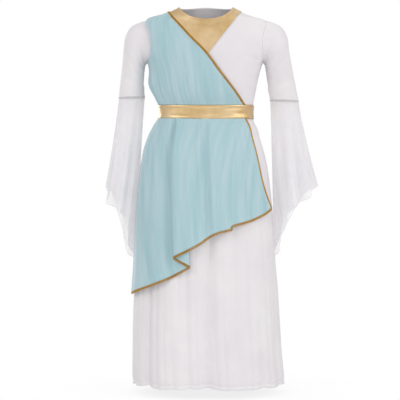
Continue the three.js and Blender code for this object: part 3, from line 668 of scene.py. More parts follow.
def yoke():
    turn = np.linspace(-SIDE, SIDE, YOKE_COLUMNS)[None, :]
    share = np.linspace(0, 1, YOKE_ROWS)[:, None]
    neck = front_neck(turn)
    z = mix(yoke_low(turn), neck, share)
    below = neck - z
    lip = LIP_HEIGHT * bump(below / LIP_TALL)
    hem = YOKE_HEM_HEIGHT * bump(share * (neck - yoke_low(turn)) / YOKE_HEM_TALL)
    pull = YOKE_PULL * np.sin(np.radians(turn * 5 + 40)) * bump((share - PULL_MIDDLE) / PULL_TALL)
    seam = mix(SHOULDER_LIFT, 1, smooth((SIDE - np.abs(turn)) / SHOULDER_TURN))
    points = moved(turn, z, (YOKE_LIFT + lip) * seam - neck_dip(turn, below) + hem + pull)
    piece = cloth("neck_yoke_cloth", points, LAME, GOLD_CLOTH)
    belongs(piece, "gold_lame", "neck_yoke")
    return points


yoke_points = yoke()
print("yoke is", round(float(np.ptp(yoke_points[..., 0]))), "mm wide")

# %% [markdown]
# ## Sleeves
# Each sleeve is a tube from the armhole to the elbow. Its sections are ovals set between an outer and an
# inner point, so the tube can lean out and turn down as an arm does. A few shallow creases run round it
# near the armpit and above the elbow seam.

# %% Sleeves
SLEEVE_COLUMNS = "outer outer_z inner inner_z depth lean"
SLEEVE_RIGHT = table(SLEEVE_COLUMNS, [
    (165, -14, 145.8, -118, 41, 0), (188, -26, 147.4, -124, 42, 0), (202, -48, 149.2, -131, 42, 1),
    (207, -80, 151, -142, 41, 2), (214, -122, 153.6, -163, 39.5, 3), (223, -168, 157, -187, 37, 4),
    (231.5, -211, 161, -208, 35, 6),
])
SLEEVE_LEFT = table(SLEEVE_COLUMNS, [
    (164, -14, 149.6, -118, 41, 0), (186, -25, 151.6, -124, 42, 0), (200, -46, 153.4, -131, 42, 1),
    (205, -78, 154.8, -142, 41, 2), (209, -118, 155.4, -160, 39.5, 3), (214, -162, 155, -182, 37, 4),
    (218, -203, 153.6, -201, 35, 6),
])
SLEEVE_SIDES, SLEEVE_CELLS = 96, 12
SEAM_ROLL, ROLL_ROW = 0.5, 0.05  # the cloth rolls a little just above the elbow seam
CREASE_START, CREASE_END = 0.8, 0.4  # rows over which the creases fade in and out
SLEEVE_RIM, SLEEVE_RIM_AWAY = 0.5, 1.8  # the rim on one side of each crease
SLEEVE_CREASES = table("row angle reach depth width slant", [
    (1.6, 150, 60, 1.6, 0.28, 0.004), (2.3, 165, 70, 1.3, 0.3, 0.006), (3.1, 150, 60, 0.9, 0.3, -0.006),
    (4.6, 120, 80, 1.1, 0.28, 0.005), (5.3, 200, 80, 1.2, 0.25, -0.004), (5.7, 60, 70, 0.9, 0.2, 0.003),
    (4.1, 260, 70, 0.9, 0.3, 0.004), (2.8, 30, 60, 0.6, 0.4, 0.0),
])


def armhole_ring(side, count):
    """The sleeve's first ring, round the bodice's armhole edge."""
    round_share = 2 * np.arange(count) / count
    z = mix(ARMPIT, SHOULDER_TIP, (1 + np.cos(np.pi * round_share)) / 2)
    turn = 90 + np.where(round_share <= 1, -1, 1) * armhole_inset(z)
    return form(side * turn, z)


def oval_rings(rows, side, count):
    """The oval sections of a sleeve, one row of points for each."""
    angle = 2 * np.pi * np.arange(count) / count
    outer = np.stack([side * rows["outer"], rows["lean"], rows["outer_z"]], axis=1)[:, None]
    inner = np.stack([side * rows["inner"], rows["lean"], rows["inner_z"]], axis=1)[:, None]
    points = (outer + inner) / 2 + (outer - inner) / 2 * np.cos(angle)[None, :, None]
    points[..., 1] -= rows["depth"][:, None] * np.sin(angle)[None, :]
    return points


def spline(points, steps):
    """Points along smooth curves through the rows of a grid."""
    before = np.concatenate([2 * points[:1] - points[1:2], points[:-1]])
    after = np.concatenate([points[1:], 2 * points[-1:] - points[-2:-1]])
    slope = (after - before) / 2
    line = []
    for at in range(len(points) - 1):
        for t in np.arange(steps) / steps:
            a, b = (2 * t ** 3 - 3 * t ** 2 + 1), (t ** 3 - 2 * t ** 2 + t)
            c, d = (3 * t ** 2 - 2 * t ** 3), (t ** 3 - t ** 2)
            line.append(a * points[at] + b * slope[at] + c * points[at + 1] + d * slope[at + 1])
    return np.array(line + [points[-1]])


def grid_out(points, closed=False):
    """The way out at every point of a grid."""
    if closed:
        around = np.roll(points, -1, axis=1) - np.roll(points, 1, axis=1)
    else:
        around = np.gradient(points, axis=1)
    normal = np.cross(around, np.gradient(points, axis=0))
    normal /= np.maximum(np.linalg.norm(normal, axis=2, keepdims=True), 1e-9)
    return normal if faces_out(points, closed) else -normal


def sleeve(name, rows, side):
    start = armhole_ring(side, SLEEVE_SIDES)[None]
    points = spline(np.concatenate([start, oval_rings(rows, side, SLEEVE_SIDES)]), SLEEVE_CELLS)
    row = np.linspace(0, len(rows["outer"]), len(points))[:, None]
    angle = np.linspace(0, 360, SLEEVE_SIDES, endpoint=False)[None, :]
    depth = 0
    for middle, at, reach, deep, width, slant in zip(*SLEEVE_CREASES.values()):
        away = wrap(angle - at)
        line = (row - middle - slant * away) / width
        depth = depth + deep * bump(away / reach) * (bump(line) - SLEEVE_RIM * bump(line - SLEEVE_RIM_AWAY))
    to_elbow = len(rows["outer"]) - row
    roll = SEAM_ROLL * bump((to_elbow - ROLL_ROW) / ROLL_ROW)
    inward = depth * smooth(row / CREASE_START) * smooth(to_elbow / CREASE_END) - roll
    points = points - grid_out(points, True) * inward[..., None]
    piece = cloth(name + "_cloth", points, JERSEY, JERSEY_CLOTH, closed=True)
    belongs(piece, "jersey", name)
    return points


sleeve_left = sleeve("sleeve_left", SLEEVE_LEFT, -1)
sleeve_right = sleeve("sleeve_right", SLEEVE_RIGHT, 1)
openings = [round(float(lengths(points, 1)[-1, -1])) for points in (sleeve_left, sleeve_right)]
print("sleeve openings", openings, "mm round")

# %% [markdown]
# ## Flounces
# From each elbow seam a wide flounce falls in lobes, and its hem slopes from the outer side down to the
# inner back. The hem is one closed curve through the lobes' outer points and the hollows between them. The
# cloth runs straight from the seam to the hem, and finer waves grow towards the hem.

# %% Flounces
BELL_COLUMNS = "side depth z"
BELL_RIGHT = table(BELL_COLUMNS, [
    (281, 4, -422), (262, -26, -436), (257, -56, -452), (232, -40, -463), (219, -62, -476),
    (204, -34, -490), (190, -34, -512), (186, 2, -548), (172, 42, -600), (185, 46, -591), (192, 86, -558),
    (209, 62, -514), (238, 76, -465), (254, 34, -438),
])
BELL_LEFT = table(BELL_COLUMNS, [
    (252, 4, -424), (240, -26, -448), (247, -52, -465), (224, -40, -476), (212, -60, -486),
    (204, -32, -498), (193, -34, -530), (195, 0, -568), (180, 40, -602), (196, 46, -597), (205, 82, -580),
    (214, 60, -526), (231, 76, -475), (238, 34, -440),
])
BELL_FLARE, BELL_ROWS, BELL_PER_LOBE = 1.15, 60, 12
BELL_LAP, BELL_LAP_OFF = 2.0, 1.0  # the flounce laps a little over the sleeve at the seam
RIPPLE_GROWN = 0.9  # the share of the way down at which the ripples are full
RIPPLE_RIM, RIPPLE_RIM_WIDE = 0.5, 2.4
BELL_RIPPLE = table("lobe depth width", [
    (0.5, 1.6, 0.3), (1.4, 1.2, 0.25), (2.5, 1.8, 0.3), (3.6, 1.4, 0.25), (4.5, 1.6, 0.3), (5.4, 1.2, 0.22),
    (6.6, 1.7, 0.3), (7.5, 1.5, 0.3), (8.5, 1.4, 0.25), (9.4, 1.8, 0.3), (10.5, 1.5, 0.3), (11.6, 1.6, 0.3),
    (12.5, 1.3, 0.25), (13.4, 1.5, 0.3),
])


def closed_curve(points, steps):
    """A closed curve whose speed follows the spacing of its points, so that it never loops."""
    ring = [np.roll(points, shift, axis=0) for shift in (1, 0, -1, -2)]
    knots = [np.sqrt(np.linalg.norm(b - a, axis=1))[:, None] for a, b in zip(ring[:-1], ring[1:])]
    a, b, c, d = ring
    start = ((b - a) / knots[0] - (c - a) / (knots[0] + knots[1]) + (c - b) / knots[1]) * knots[1]
    end = ((c - b) / knots[1] - (d - b) / (knots[1] + knots[2]) + (d - c) / knots[2]) * knots[1]
    parts = []
    square, cube = 3 * (c - b) - 2 * start - end, 2 * (b - c) + start + end
    for t in np.arange(steps) / steps:
        parts.append(b + start * t + square * t ** 2 + cube * t ** 3)
    return np.stack(parts, axis=1).reshape(-1, 3)


def bell(name, sleeve_rows, hem_rows, side):
    hem = np.stack([side * hem_rows["side"], hem_rows["depth"], hem_rows["z"]], axis=1)
    hem = closed_curve(hem, BELL_PER_LOBE)
    last = {key: column[-1:] for key, column in sleeve_rows.items()}
    top = oval_rings(last, side, len(hem))[0]
    down = np.linspace(0, 1, BELL_ROWS + 1)[:, None, None]
    points = np.where(np.array([True, True, False]), mix(top, hem, down ** BELL_FLARE), mix(top, hem, down))
    lobe = (np.arange(len(hem)) / BELL_PER_LOBE)[None, :]
    count = len(hem_rows["side"])
    ripple = 0
    for at, deep, width in zip(*BELL_RIPPLE.values()):
        away = (lobe - at + count / 2) % count - count / 2
        ripple = ripple + deep * rimmed(away / width, RIPPLE_RIM, RIPPLE_RIM_WIDE)
    points = points + grid_out(points, True) * (ripple * smooth(down[..., 0] / RIPPLE_GROWN))[..., None]
    points[0] = points[0] + grid_out(points, True)[0] * BELL_LAP_OFF + (0, 0, BELL_LAP)
    piece = cloth(name + "_cloth", points, CHIFFON, MESH_CLOTH, closed=True)
    belongs(piece, "sheer_white", name)
    return points


bell_left = bell("bell_left", SLEEVE_LEFT, BELL_LEFT, -1)
bell_right = bell("bell_right", SLEEVE_RIGHT, BELL_RIGHT, 1)
print("flounce hem", round(float(lengths(bell_right, 1)[-1, -1])), "mm round")

# %% [markdown]
# ## Waistband
# A gold band is sewn between the bodice and the skirt. It is two straight strips joined at the sides. Along
# its length it buckles a little, and both its edges roll where the seams pull them in.

# %% Waistband
BAND_OFF, BAND_CROWN = 1.6, 1.6
BAND_ROLLS = ((0.93, 0.7, 0.06), (0.08, 0.5, 0.07))  # each edge's roll: its share of the height, reach, width
BAND_COLUMNS, BAND_ROWS = 161, 29
BAND_BUCKLES = table("turn z depth round tall slant", [
    (-78, -246, 0.9, 9, 6, 0.1), (-60, -232, 0.6, 14, 5, 0.05), (-36, -248, 0.7, 18, 4, 0.0),
    (-12, -234, 0.7, 16, 5, -0.04), (8, -249, 0.9, 20, 4, 0.02), (30, -230, 0.8, 15, 4, 0.05),
    (50, -243, 0.9, 12, 5, -0.15), (68, -233, 0.7, 9, 6, 0.1), (104, -241, 0.8, 14, 5, 0.1),
    (132, -247, 0.8, 16, 4, -0.05), (160, -232, 0.7, 18, 5, 0.0), (192, -245, 0.8, 16, 5, 0.04),
    (222, -233, 0.7, 16, 5, -0.05), (250, -246, 0.8, 12, 5, 0.1),
])


def waistband(name, start, stop):
    turn = np.linspace(start, stop, BAND_COLUMNS)[None, :]
    z = np.linspace(BAND_BOTTOM - SEAM, BAND_TOP + SEAM, BAND_ROWS)[:, None]
    up = np.clip((z - BAND_BOTTOM) / (BAND_TOP - BAND_BOTTOM), 0, 1)
    out = BAND_OFF + BAND_CROWN * np.sin(np.pi * up) ** 0.5
    for middle, reach, width in BAND_ROLLS:
        out = out + reach * bump((up - middle) / width)
    for at, height, deep, wide, tall, slant in zip(*BAND_BUCKLES.values()):
        away = wrap(turn - at)
        out = out - deep * bump(away / wide) * bump((z - height - slant * away) / tall)
    piece = cloth(name + "_cloth", moved(turn, z + 0 * turn, out), BAND, GOLD_CLOTH)
    belongs(piece, "gold_lame", name)


waistband("waistband_front", -SIDE, SIDE)
waistband("waistband_back", SIDE, FAR_SIDE)
print("waistband", BAND_TOP - BAND_BOTTOM, "mm tall")

# %% [markdown]
# ## Skirt
# The skirt is cut in two flared panels. It hangs from the band, rounds over the hips and breaks into soft
# upright folds that grow towards the hem. The main folds come from one table, a row for each trough, and
# slight folds of other widths lie between them, because cloth never hangs in equal waves.

# %% Skirt
TO_HEM = -1200  # below the floor, for a fold that runs all the way down
SKIRT_FOLDS = table("top hem depth spread start until", [
    (-84, -79, 7, 5, -560), (-56, -57.7, 17, 7, -470), (-34, -30.6, 8, 5, -740),
    (-20, -16.7, 12, 5.5, -540), (8, -1.1, 21, 8, -410), (29, 22, 10, 6, -450, -860), (33, 31, 7, 5, -800),
    (50, 49.5, 13, 6, -690), (71, 73.3, 11, 6, -600), (101, 104, 13, 7, -560), (121, 125, 17, 7, -440),
    (145, 147, 21, 8, -400), (163, 166, 11, 6, -620), (186, 184, 21, 8, -410), (208, 206, 12, 6, -560),
    (231, 228, 19, 8, -430), (255, 252, 13, 7, -600),
], TO_HEM)
SLIGHT_FOLDS = table("top hem depth spread start until", [
    (-74, -71, 2.2, 3, -380), (-66, -65, 1.6, 2.2, -500, -860), (-47, -46, 2.6, 3, -420),
    (-40, -38, 1.6, 2.4, -600), (-27, -24, 1.8, 2.4, -480, -820), (-10, -10, 2.2, 3, -520),
    (2, 8, 1.8, 2.6, -640), (14, 14.5, 2.4, 3, -560), (40, 40, 2.2, 3, -470), (57, 58, 2.0, 2.6, -420),
    (64, 65, 1.6, 2.4, -560), (80, 82, 2.2, 3, -480), (94, 95, 1.8, 2.6, -420), (111, 114, 2.4, 3, -500),
    (133, 136, 2.2, 3, -460), (154, 156, 2.0, 2.6, -420), (175, 175, 2.4, 3, -560),
    (197, 195, 2.2, 3, -440), (219, 217, 2.4, 3, -520), (241, 240, 2.2, 3, -460),
    (263, 262, 1.8, 2.6, -520),
], TO_HEM)
FOLD_LEAD, FOLD_GROWTH, FOLD_FADE, FOLD_SHARPNESS = 60, 330, 120, 1.3
SLIGHT_SHARE = 1.5
GATHERS, GATHER_DRIFT, GATHER_DEPTH, GATHER_TALL = 41, 60, 0.5, 16
HEM_LIFT_SHARE, HEM_LIFT_FROM = 0.34, -700
STITCH_UP = 9.0  # the hem's stitching above its edge
HEM_PULL, HEM_PULL_TALL = 1.3, 3.0  # the stitching draws the cloth in
SKIRT_COLUMNS, SKIRT_ROWS, HEM_ROWS, HEM_ZONE = 291, 86, 15, 24


def fold_depth(rows, turn, z):
    """How far the folds of a table draw the cloth in at a place."""
    down = np.clip((z - BAND_BOTTOM) / (HEM - BAND_BOTTOM), 0, 1)
    depth = 0
    for top, hem, deep, spread, start, until in zip(*rows.values()):
        away = np.abs(wrap(turn - mix(top, hem, down))) / spread
        grown = smooth((start + FOLD_LEAD - z) / FOLD_GROWTH) * smooth((z - until) / FOLD_FADE)
        depth = depth + deep * grown * np.exp(-away ** FOLD_SHARPNESS)
    return depth


def skirt_surface(turn, z):
    """The skirt's outer form with its folds."""
    depth = fold_depth(SKIRT_FOLDS, turn, z)
    raised = HEM_LIFT_SHARE * depth * smooth((HEM_LIFT_FROM - z) / (HEM_LIFT_FROM - HEM))
    hem_pull = HEM_PULL * bump((z - HEM - STITCH_UP) / HEM_PULL_TALL)
    slight = SLIGHT_SHARE * fold_depth(SLIGHT_FOLDS, turn, z)
    gathers = np.sin(np.radians(turn * GATHERS + GATHER_DRIFT * np.sin(np.radians(turn * 7))))
    gathered = GATHER_DEPTH * gathers * bump((z - BAND_BOTTOM) / GATHER_TALL)
    return moved(turn, z + raised, gathered - depth - slight - hem_pull)


def skirt(name, start, stop):
    turn = np.linspace(start, stop, SKIRT_COLUMNS)[None, :]
    hem_rows = np.linspace(HEM, HEM + HEM_ZONE, HEM_ROWS)
    z = np.concatenate([hem_rows[:-1], np.linspace(HEM + HEM_ZONE, BAND_BOTTOM + 1, SKIRT_ROWS)])
    points = skirt_surface(turn, z[:, None] + 0 * turn)
    piece = cloth(name + "_cloth", points, JERSEY, JERSEY_CLOTH)
    belongs(piece, "jersey", name)
    return points


skirt_front = skirt("skirt_front", -SIDE, SIDE)
skirt_back = skirt("skirt_back", SIDE, FAR_SIDE)
print("hem", round(float(lengths(skirt_front, 1)[0, -1] + lengths(skirt_back, 1)[0, -1])), "mm round")

# %% [markdown]
# ## Chiffon over the shoulder
# The chiffon is caught in the shoulder and side seams and gathered into the waistband. Its free edge runs
# from the shoulder across the chest. The pleats start at the band, lean a little towards the shoulder and
# fade out on the way up, each at its own height. Its texture follows the same lean.

# %% Chiffon over the shoulder
OVERLAY_EDGE = table("up x z", [
    (0, 92, BAND_TOP + SEAM), (0.11, 68.5, -190), (0.28, 32.5, -145), (0.46, -4.5, -96), (0.59, -36, -64),
    (0.77, -74.5, -20), (0.84, -87.5, -6), (0.92, -92, 2), (1, -94.5, 7),
])
CROWDING, SIDE_SHARE = 1.7, 0.45
INSET_TURN, INSET_FROM, INSET_RISE, INSET_FALL = 2.2, 0.3, 0.2, 0.08
OVERLAY_LOW, OVERLAY_CLEAR, CLEAR_RISE = 1.6, 4.3, 40
EDGE_RISE, EDGE_FROM = 1.2, 0.9
PUFF_HEIGHT, PUFF_TURN, PUFF_Z, PUFF_ROUND, PUFF_TALL = 10, -82, -166, 13, 27
OVERLAY_COLUMNS, OVERLAY_ROWS = 340, 100
PLEAT_LEAN, LEAN_TALL, PLEAT_SWELL = 8, 60, 2.6
SWELL_TALL, SWELL_FROM, SWELL_FADE, SWELL_LOST = 18, 30, 100, 0.7
PLEAT_START, PLEAT_REACH, PLEAT_FADE = 5, 1.5, 1.3  # a start in mm, and an end in shares of its height
PLEAT_RIM, PLEAT_RIM_WIDE = 0.45, 2.2
SIDE_HELD, EDGE_HELD, TOP_HELD = 0.03, 0.04, 0.06  # the seams and the free edge keep the pleats flat
PLEATS = table("turn depth width tall", [
    (-87, 1.6, 1.8, 60), (-82, 2.6, 2.0, 95), (-76, 1.8, 1.6, 80), (-71, 2.8, 2.2, 105),
    (-65, 1.6, 1.6, 60), (-59, 3.6, 2.6, 130), (-52, 1.8, 1.7, 70), (-47, 1.4, 1.4, 45),
    (-41.5, 3.2, 2.2, 115), (-36, 1.4, 1.4, 60), (-31, 2.8, 2.0, 95), (-25, 1.7, 1.6, 70),
    (-18.5, 3.2, 2.2, 110), (-14, 1.4, 1.4, 50), (-9.5, 2.6, 1.8, 85), (-3.5, 1.5, 1.5, 60),
    (2, 2.8, 2.0, 90), (7.5, 1.4, 1.4, 40), (12.4, 2.2, 1.8, 70), (18, 1.5, 1.5, 50), (24, 1.9, 1.8, 60),
    (30, 1.3, 1.5, 40), (36, 1.5, 1.6, 45), (42, 1.0, 1.4, 35), (48, 0.8, 1.4, 30),
])


def front_turn(x, z):
    """The turn on the front that lies a distance sideways, found by halving."""
    low, high = np.full_like(x, -SIDE), np.full_like(x, SIDE)
    for _ in range(HALVINGS):
        middle = (low + high) / 2
        short = form(middle, z)[..., 0] < x
        low, high = np.where(short, middle, low), np.where(short, high, middle)
    return (low + high) / 2


def overlay_places(u, v):
    """Turn and height over the patch between the band, the side, the shoulder and the free edge."""
    share = np.clip((v - SIDE_SHARE) / (1 - SIDE_SHARE), 0, 1)
    side_z = np.where(v < SIDE_SHARE, mix(BAND_TOP + SEAM, ARMPIT, v / SIDE_SHARE),
                      mix(ARMPIT, SHOULDER_TIP, (1 - np.cos(np.pi * share)) / 2))
    inset = INSET_TURN * smooth((v - INSET_FROM) / INSET_RISE) * smooth((1 - v) / INSET_FALL)
    side_turn = -SIDE + armhole_inset(side_z) + inset
    edge_z = read(OVERLAY_EDGE, "up", "z", v)
    edge_turn = np.maximum(-SIDE, front_turn(read(OVERLAY_EDGE, "up", "x", v), edge_z))
    return mix(side_turn, edge_turn, u), mix(side_z, edge_z, u)


def overlay():
    u = np.linspace(0, 1, OVERLAY_COLUMNS + 1)[None, :]
    v = 1 - (1 - np.linspace(0, 1, OVERLAY_ROWS + 1)[:, None]) ** CROWDING
    turn, z = overlay_places(u, v)
    up = z - BAND_TOP
    root = turn + PLEAT_LEAN * (1 - np.exp(-np.clip(up, 0, None) / LEAN_TALL))
    pleat = 0
    for at, deep, width, tall in zip(*PLEATS.values()):
        length = smooth((PLEAT_REACH * tall - up) / (PLEAT_FADE * tall)) * smooth(up / PLEAT_START + 0.3)
        pleat = pleat + deep * length * rimmed((root - at) / width, PLEAT_RIM, PLEAT_RIM_WIDE)
    swell = PLEAT_SWELL * smooth(up / SWELL_TALL) * (1 - SWELL_LOST * smooth((up - SWELL_FROM) / SWELL_FADE))
    puff = PUFF_HEIGHT * bump((turn - PUFF_TURN) / PUFF_ROUND) * bump((z - PUFF_Z) / PUFF_TALL)
    inside = smooth(u / 0.08) * smooth((1 - v) / 0.1)
    rest = mix(OVERLAY_LOW, OVERLAY_CLEAR, smooth(up / CLEAR_RISE) * inside)
    edge = EDGE_RISE * smooth((u - EDGE_FROM) / (1 - EDGE_FROM)) * smooth(up / 30)
    held = smooth(u / SIDE_HELD) * smooth((1 - u) / EDGE_HELD) * smooth((1 - v) / TOP_HELD)
    return moved(turn, z, rest + (swell - pleat) * held + puff * smooth(u / 0.02) + edge), root * DEGREE


overlay_points, overlay_across = overlay()
toga_bodice = cloth("toga_bodice_cloth", overlay_points, CHIFFON, CHIFFON_CLOTH, across=overlay_across)
belongs(toga_bodice, "aqua_chiffon", "toga_bodice")
print("chiffon above the waist", overlay_points.shape)

# %% [markdown]
# ## Chiffon below the waist
# The same cloth hangs on below the band. Its hem slopes, and near the left it doubles back on itself twice,
# so that the braid draws a Z. The cloth is read line by line: each row of the table is a line from the
# band to the hem, and the lines beside the Z turn back under one another.

# %% Chiffon below the waist
FLAP = table("top hem bend hem_z off_top off_hem", [
    (56.8, 69.5, 5, -478, 2.4, 7), (53, 58, 2.4, -491, 2.4, 8.5), (48, 45, 1.4, -505, 2.4, 5),
    (37, 33, 1, -514, 2.4, 9.5), (28.3, 24, 1, -521.5, 2.5, 9.2), (27.6, 23.4, 1, -528.5, 2.5, 8.4),
    (24, 20.5, 1, -530, 2.6, 7.6), (11, 10, 1, -537.5, 3.6, 9.5), (-2.6, 3.3, 1, -546, 4.2, 5.6),
    (-14, -5, 0.9, -562, 4.6, 11), (-26, -15, 0.7, -577, 7.2, 14.6), (-40.6, -26.7, 0.45, -593, 7.4, 14.6),
    (-41.8, -28.1, 0.45, -596, 6, 12.2), (-40.6, -26.7, 0.45, -599, 4.8, 9.8),
    (-34, -15.7, 0.45, -615, 4.8, 9.8), (-32.8, -14.3, 0.45, -617, 3.6, 7.4),
    (-34, -15.7, 0.45, -620, 2.4, 5), (-40.6, -26.7, 0.45, -636, 1.8, 3), (-50, -41, 0.5, -655, 5.4, 10),
    (-63, -56, 0.7, -669, 4.2, 6), (-78, -72, 0.9, -682, 3.6, 7), (-90, -89, 1, -692, 3, 3),
])
FLAP["line"] = np.arange(len(FLAP["top"]), dtype=float)
FLAP_CELLS, FLAP_ROWS, FLAP_CROWDING = 16, 90, 1.15
FLAP_FOLDS = table("line depth width start fade", [
    (0.8, 0.9, 0.22, 0.1, 0.5), (1.6, 1.2, 0.25, 0.0, 0.9), (2.5, 1.8, 0.25, 0.05, 1.0),
    (3.4, 1.0, 0.2, 0.0, 0.7), (6.4, 1.1, 0.22, 0.0, 0.9), (7.2, 1.0, 0.2, 0.0, 0.6),
    (7.96, 5.4, 0.36, 0.0, 1.0), (8.55, -4.0, 0.32, 0.0, 0.9), (7.4, -3.0, 0.3, 0.0, 0.8),
    (9.4, 1.2, 0.22, 0.0, 0.8), (10.2, 1.3, 0.2, 0.0, 0.7), (10.8, -3.0, 0.35, 0.0, 1.3),
    (17.35, 5.2, 0.42, 0.0, 1.3), (18.1, 1.1, 0.2, 0.0, 1.0), (18.9, 2.0, 0.24, 0.0, 1.1),
    (19.6, 1.4, 0.2, 0.0, 0.9), (20.2, 2.0, 0.22, 0.0, 1.1), (20.7, 1.2, 0.18, 0.1, 0.8),
])
FLAP_LEAST = 1.0  # how close the chiffon may come to the skirt
PUCKER, PUCKER_TURN, PUCKER_TALL = 1.04, 3.3, 22
Z_MIDDLE, Z_REACH = 13.5, 2.6  # the lines that lie over one another in the Z
Z_PUCKER, Z_FOLD = 0.3, 0.25  # how much of the puckers and the folds they keep
EARLY_RATE, EARLY_SHARE, BAND_STEP = 2.2, 0.6, 1.2
FLAP_RIM, FLAP_RIM_WIDE = 0.45, 2.4
HIP_SWELL, HIP_Z, HIP_TALL, HIP_TURN, HIP_FADE = 3.5, -300, 40, -50, 30


def flap():
    lines = np.linspace(0, FLAP["line"][-1], (len(FLAP["line"]) - 1) * FLAP_CELLS + 1)[None, :]
    v = (np.linspace(0, 1, FLAP_ROWS + 1) ** FLAP_CROWDING)[:, None]
    row = {name: read(FLAP, "line", name, lines) for name in FLAP if name != "line"}
    z = mix(BAND_BOTTOM - SEAM, row["hem_z"], v)
    turn = mix(row["top"], row["hem"], v ** row["bend"])
    grown = mix(v, smooth(v * EARLY_RATE), EARLY_SHARE)
    off = mix(row["off_top"], row["off_hem"], grown) + BAND_STEP * smooth(v * 8)
    hip = HIP_SWELL * bump((z - HIP_Z) / HIP_TALL) * smooth((HIP_TURN - turn) / HIP_FADE)
    fold = 0
    for line, deep, width, start, fade in zip(*FLAP_FOLDS.values()):
        length = smooth((v - start + 0.06) / 0.16) * smooth((fade + 0.25 - v) / 0.4)
        fold = fold + deep * length * rimmed((lines - line) / width, FLAP_RIM, FLAP_RIM_WIDE)
    over = np.abs(lines - Z_MIDDLE) < Z_REACH
    pucker = np.abs(np.sin(np.pi * turn / PUCKER_TURN + 1.1 * np.sin(turn / 7)))
    pucker = PUCKER * pucker * bump((z - BAND_BOTTOM) / PUCKER_TALL) * smooth(v * 14 + 0.2)
    out = off + hip + pucker * np.where(over, Z_PUCKER, 1) - fold * np.where(over, Z_FOLD, 1)
    return moved(turn, z, np.where(over, out, np.maximum(out, FLAP_LEAST)))


flap_points = flap()
toga_skirt = cloth("toga_skirt_cloth", flap_points, CHIFFON, CHIFFON_CLOTH)
belongs(toga_skirt, "aqua_chiffon", "toga_skirt")
print("chiffon below the waist", flap_points.shape)

# %% [markdown]
# ## Links along a path
# Braid and stitching both repeat one small shape along a line, so one Geometry Nodes tree serves both. It
# turns a path of edges into a curve, spaces points along it, and sets a link on each, turned to the path
# and to the cloth's way out. A braid needs two rows that lean towards each other, and a row of stitches
# needs one that lies straight.


# %% Links along a path
def links_tree(name, material, leans):
    """A tree that lays links along a path, one row for each lean."""
    tree = bpy.data.node_groups.new(name, "GeometryNodeTree")
    tree.interface.new_socket("Geometry", in_out="INPUT", socket_type="NodeSocketGeometry")
    for label in ("Spacing", "Link length", "Link width", "Link height", "Row offset", "Lean"):
        tree.interface.new_socket(label, in_out="INPUT", socket_type="NodeSocketFloat")
    tree.interface.new_socket("Geometry", in_out="OUTPUT", socket_type="NodeSocketGeometry")

    def add(kind, links=(), **values):
        return add_node(tree, kind, links, **values)

    given = add("NodeGroupInput").outputs
    path = add("GeometryNodeMeshToCurve", {"Mesh": given["Geometry"]}).outputs["Curve"]
    spaced = add("GeometryNodeResampleCurve", {"Curve": path, "Length": given["Spacing"]}, mode="LENGTH")
    named = add("GeometryNodeInputNamedAttribute", {"Name": "out"}, data_type="FLOAT_VECTOR")
    out = named.outputs["Attribute"]
    tangent = add("GeometryNodeInputTangent").outputs[0]
    aside = add("ShaderNodeVectorMath", {0: tangent, 1: out}, operation="CROSS_PRODUCT").outputs[0]
    facing = add("FunctionNodeAxesToRotation", {"Primary Axis": out, "Secondary Axis": tangent},
                 primary_axis="Z", secondary_axis="X").outputs[0]
    ball = add("GeometryNodeMeshUVSphere", {"Segments": 8, "Rings": 5, "Radius": 0.5}).outputs["Mesh"]
    size = add("ShaderNodeCombineXYZ", {
        "X": given["Link length"], "Y": given["Link width"], "Z": given["Link height"],
    }).outputs[0]
    join = add("GeometryNodeJoinGeometry")
    for lean in leans:
        products = [add("ShaderNodeMath", {0: given[label], 1: float(lean)}, operation="MULTIPLY")
                    for label in ("Row offset", "Lean")]
        shift, turn = [product.outputs[0] for product in products]
        beside = add("ShaderNodeVectorMath", {0: aside, "Scale": shift}, operation="SCALE").outputs[0]
        row = add("GeometryNodeSetPosition", {"Geometry": spaced.outputs[0], "Offset": beside}).outputs[0]
        spin = add("ShaderNodeCombineXYZ", {"Z": turn}).outputs[0]
        local = add("FunctionNodeEulerToRotation", {"Euler": spin}).outputs[0]
        both = add("FunctionNodeRotateRotation", {"Rotation": facing, "Rotate By": local},
                   rotation_space="LOCAL").outputs[0]
        links = add("GeometryNodeInstanceOnPoints", {
            "Points": row, "Instance": ball, "Rotation": both, "Scale": size,
        })
        tree.links.new(links.outputs[0], join.inputs[0])
    real = add("GeometryNodeRealizeInstances", {"Geometry": join.outputs[0]}).outputs[0]
    even = add("GeometryNodeSetShadeSmooth", {"Geometry": real}).outputs[0]
    dressed = add("GeometryNodeSetMaterial", {"Geometry": even, "Material": material}).outputs[0]
    add("NodeGroupOutput", {0: dressed})
    print(name, "has", len(tree.nodes), "nodes")
    return tree


def lay_links(name, tree, lines, outs, sizes):
    """Runs a tree on one or more lines of points and keeps the result as a plain mesh."""
    vertices = np.concatenate(lines) * MM
    mesh = bpy.data.meshes.new(name + "_path")
    starts = np.cumsum([0] + [len(line) for line in lines[:-1]])
    edges = [(s + i, s + i + 1) for s, line in zip(starts, lines) for i in range(len(line) - 1)]
    mesh.from_pydata(vertices.tolist(), edges, [])
    way = mesh.attributes.new("out", "FLOAT_VECTOR", "POINT")
    way.data.foreach_set("vector", np.concatenate(outs).ravel())
    guide = bpy.data.objects.new(name + "_path", mesh)
    scene.collection.objects.link(guide)
    nodes = guide.modifiers.new("links", "NODES")
    nodes.node_group = tree
    named = {item.name: item.identifier for item in tree.interface.items_tree if item.in_out == "INPUT"}
    for label, value in sizes.items():
        nodes[named[label]] = value
    evaluated = guide.evaluated_get(bpy.context.evaluated_depsgraph_get())
    result = bpy.data.meshes.new_from_object(evaluated)
    result.name = name
    bpy.data.objects.remove(guide)
    bpy.data.meshes.remove(mesh)
    piece = bpy.data.objects.new(name, result)
    scene.collection.objects.link(piece)
    print(name, len(result.polygons), "faces")
    return piece


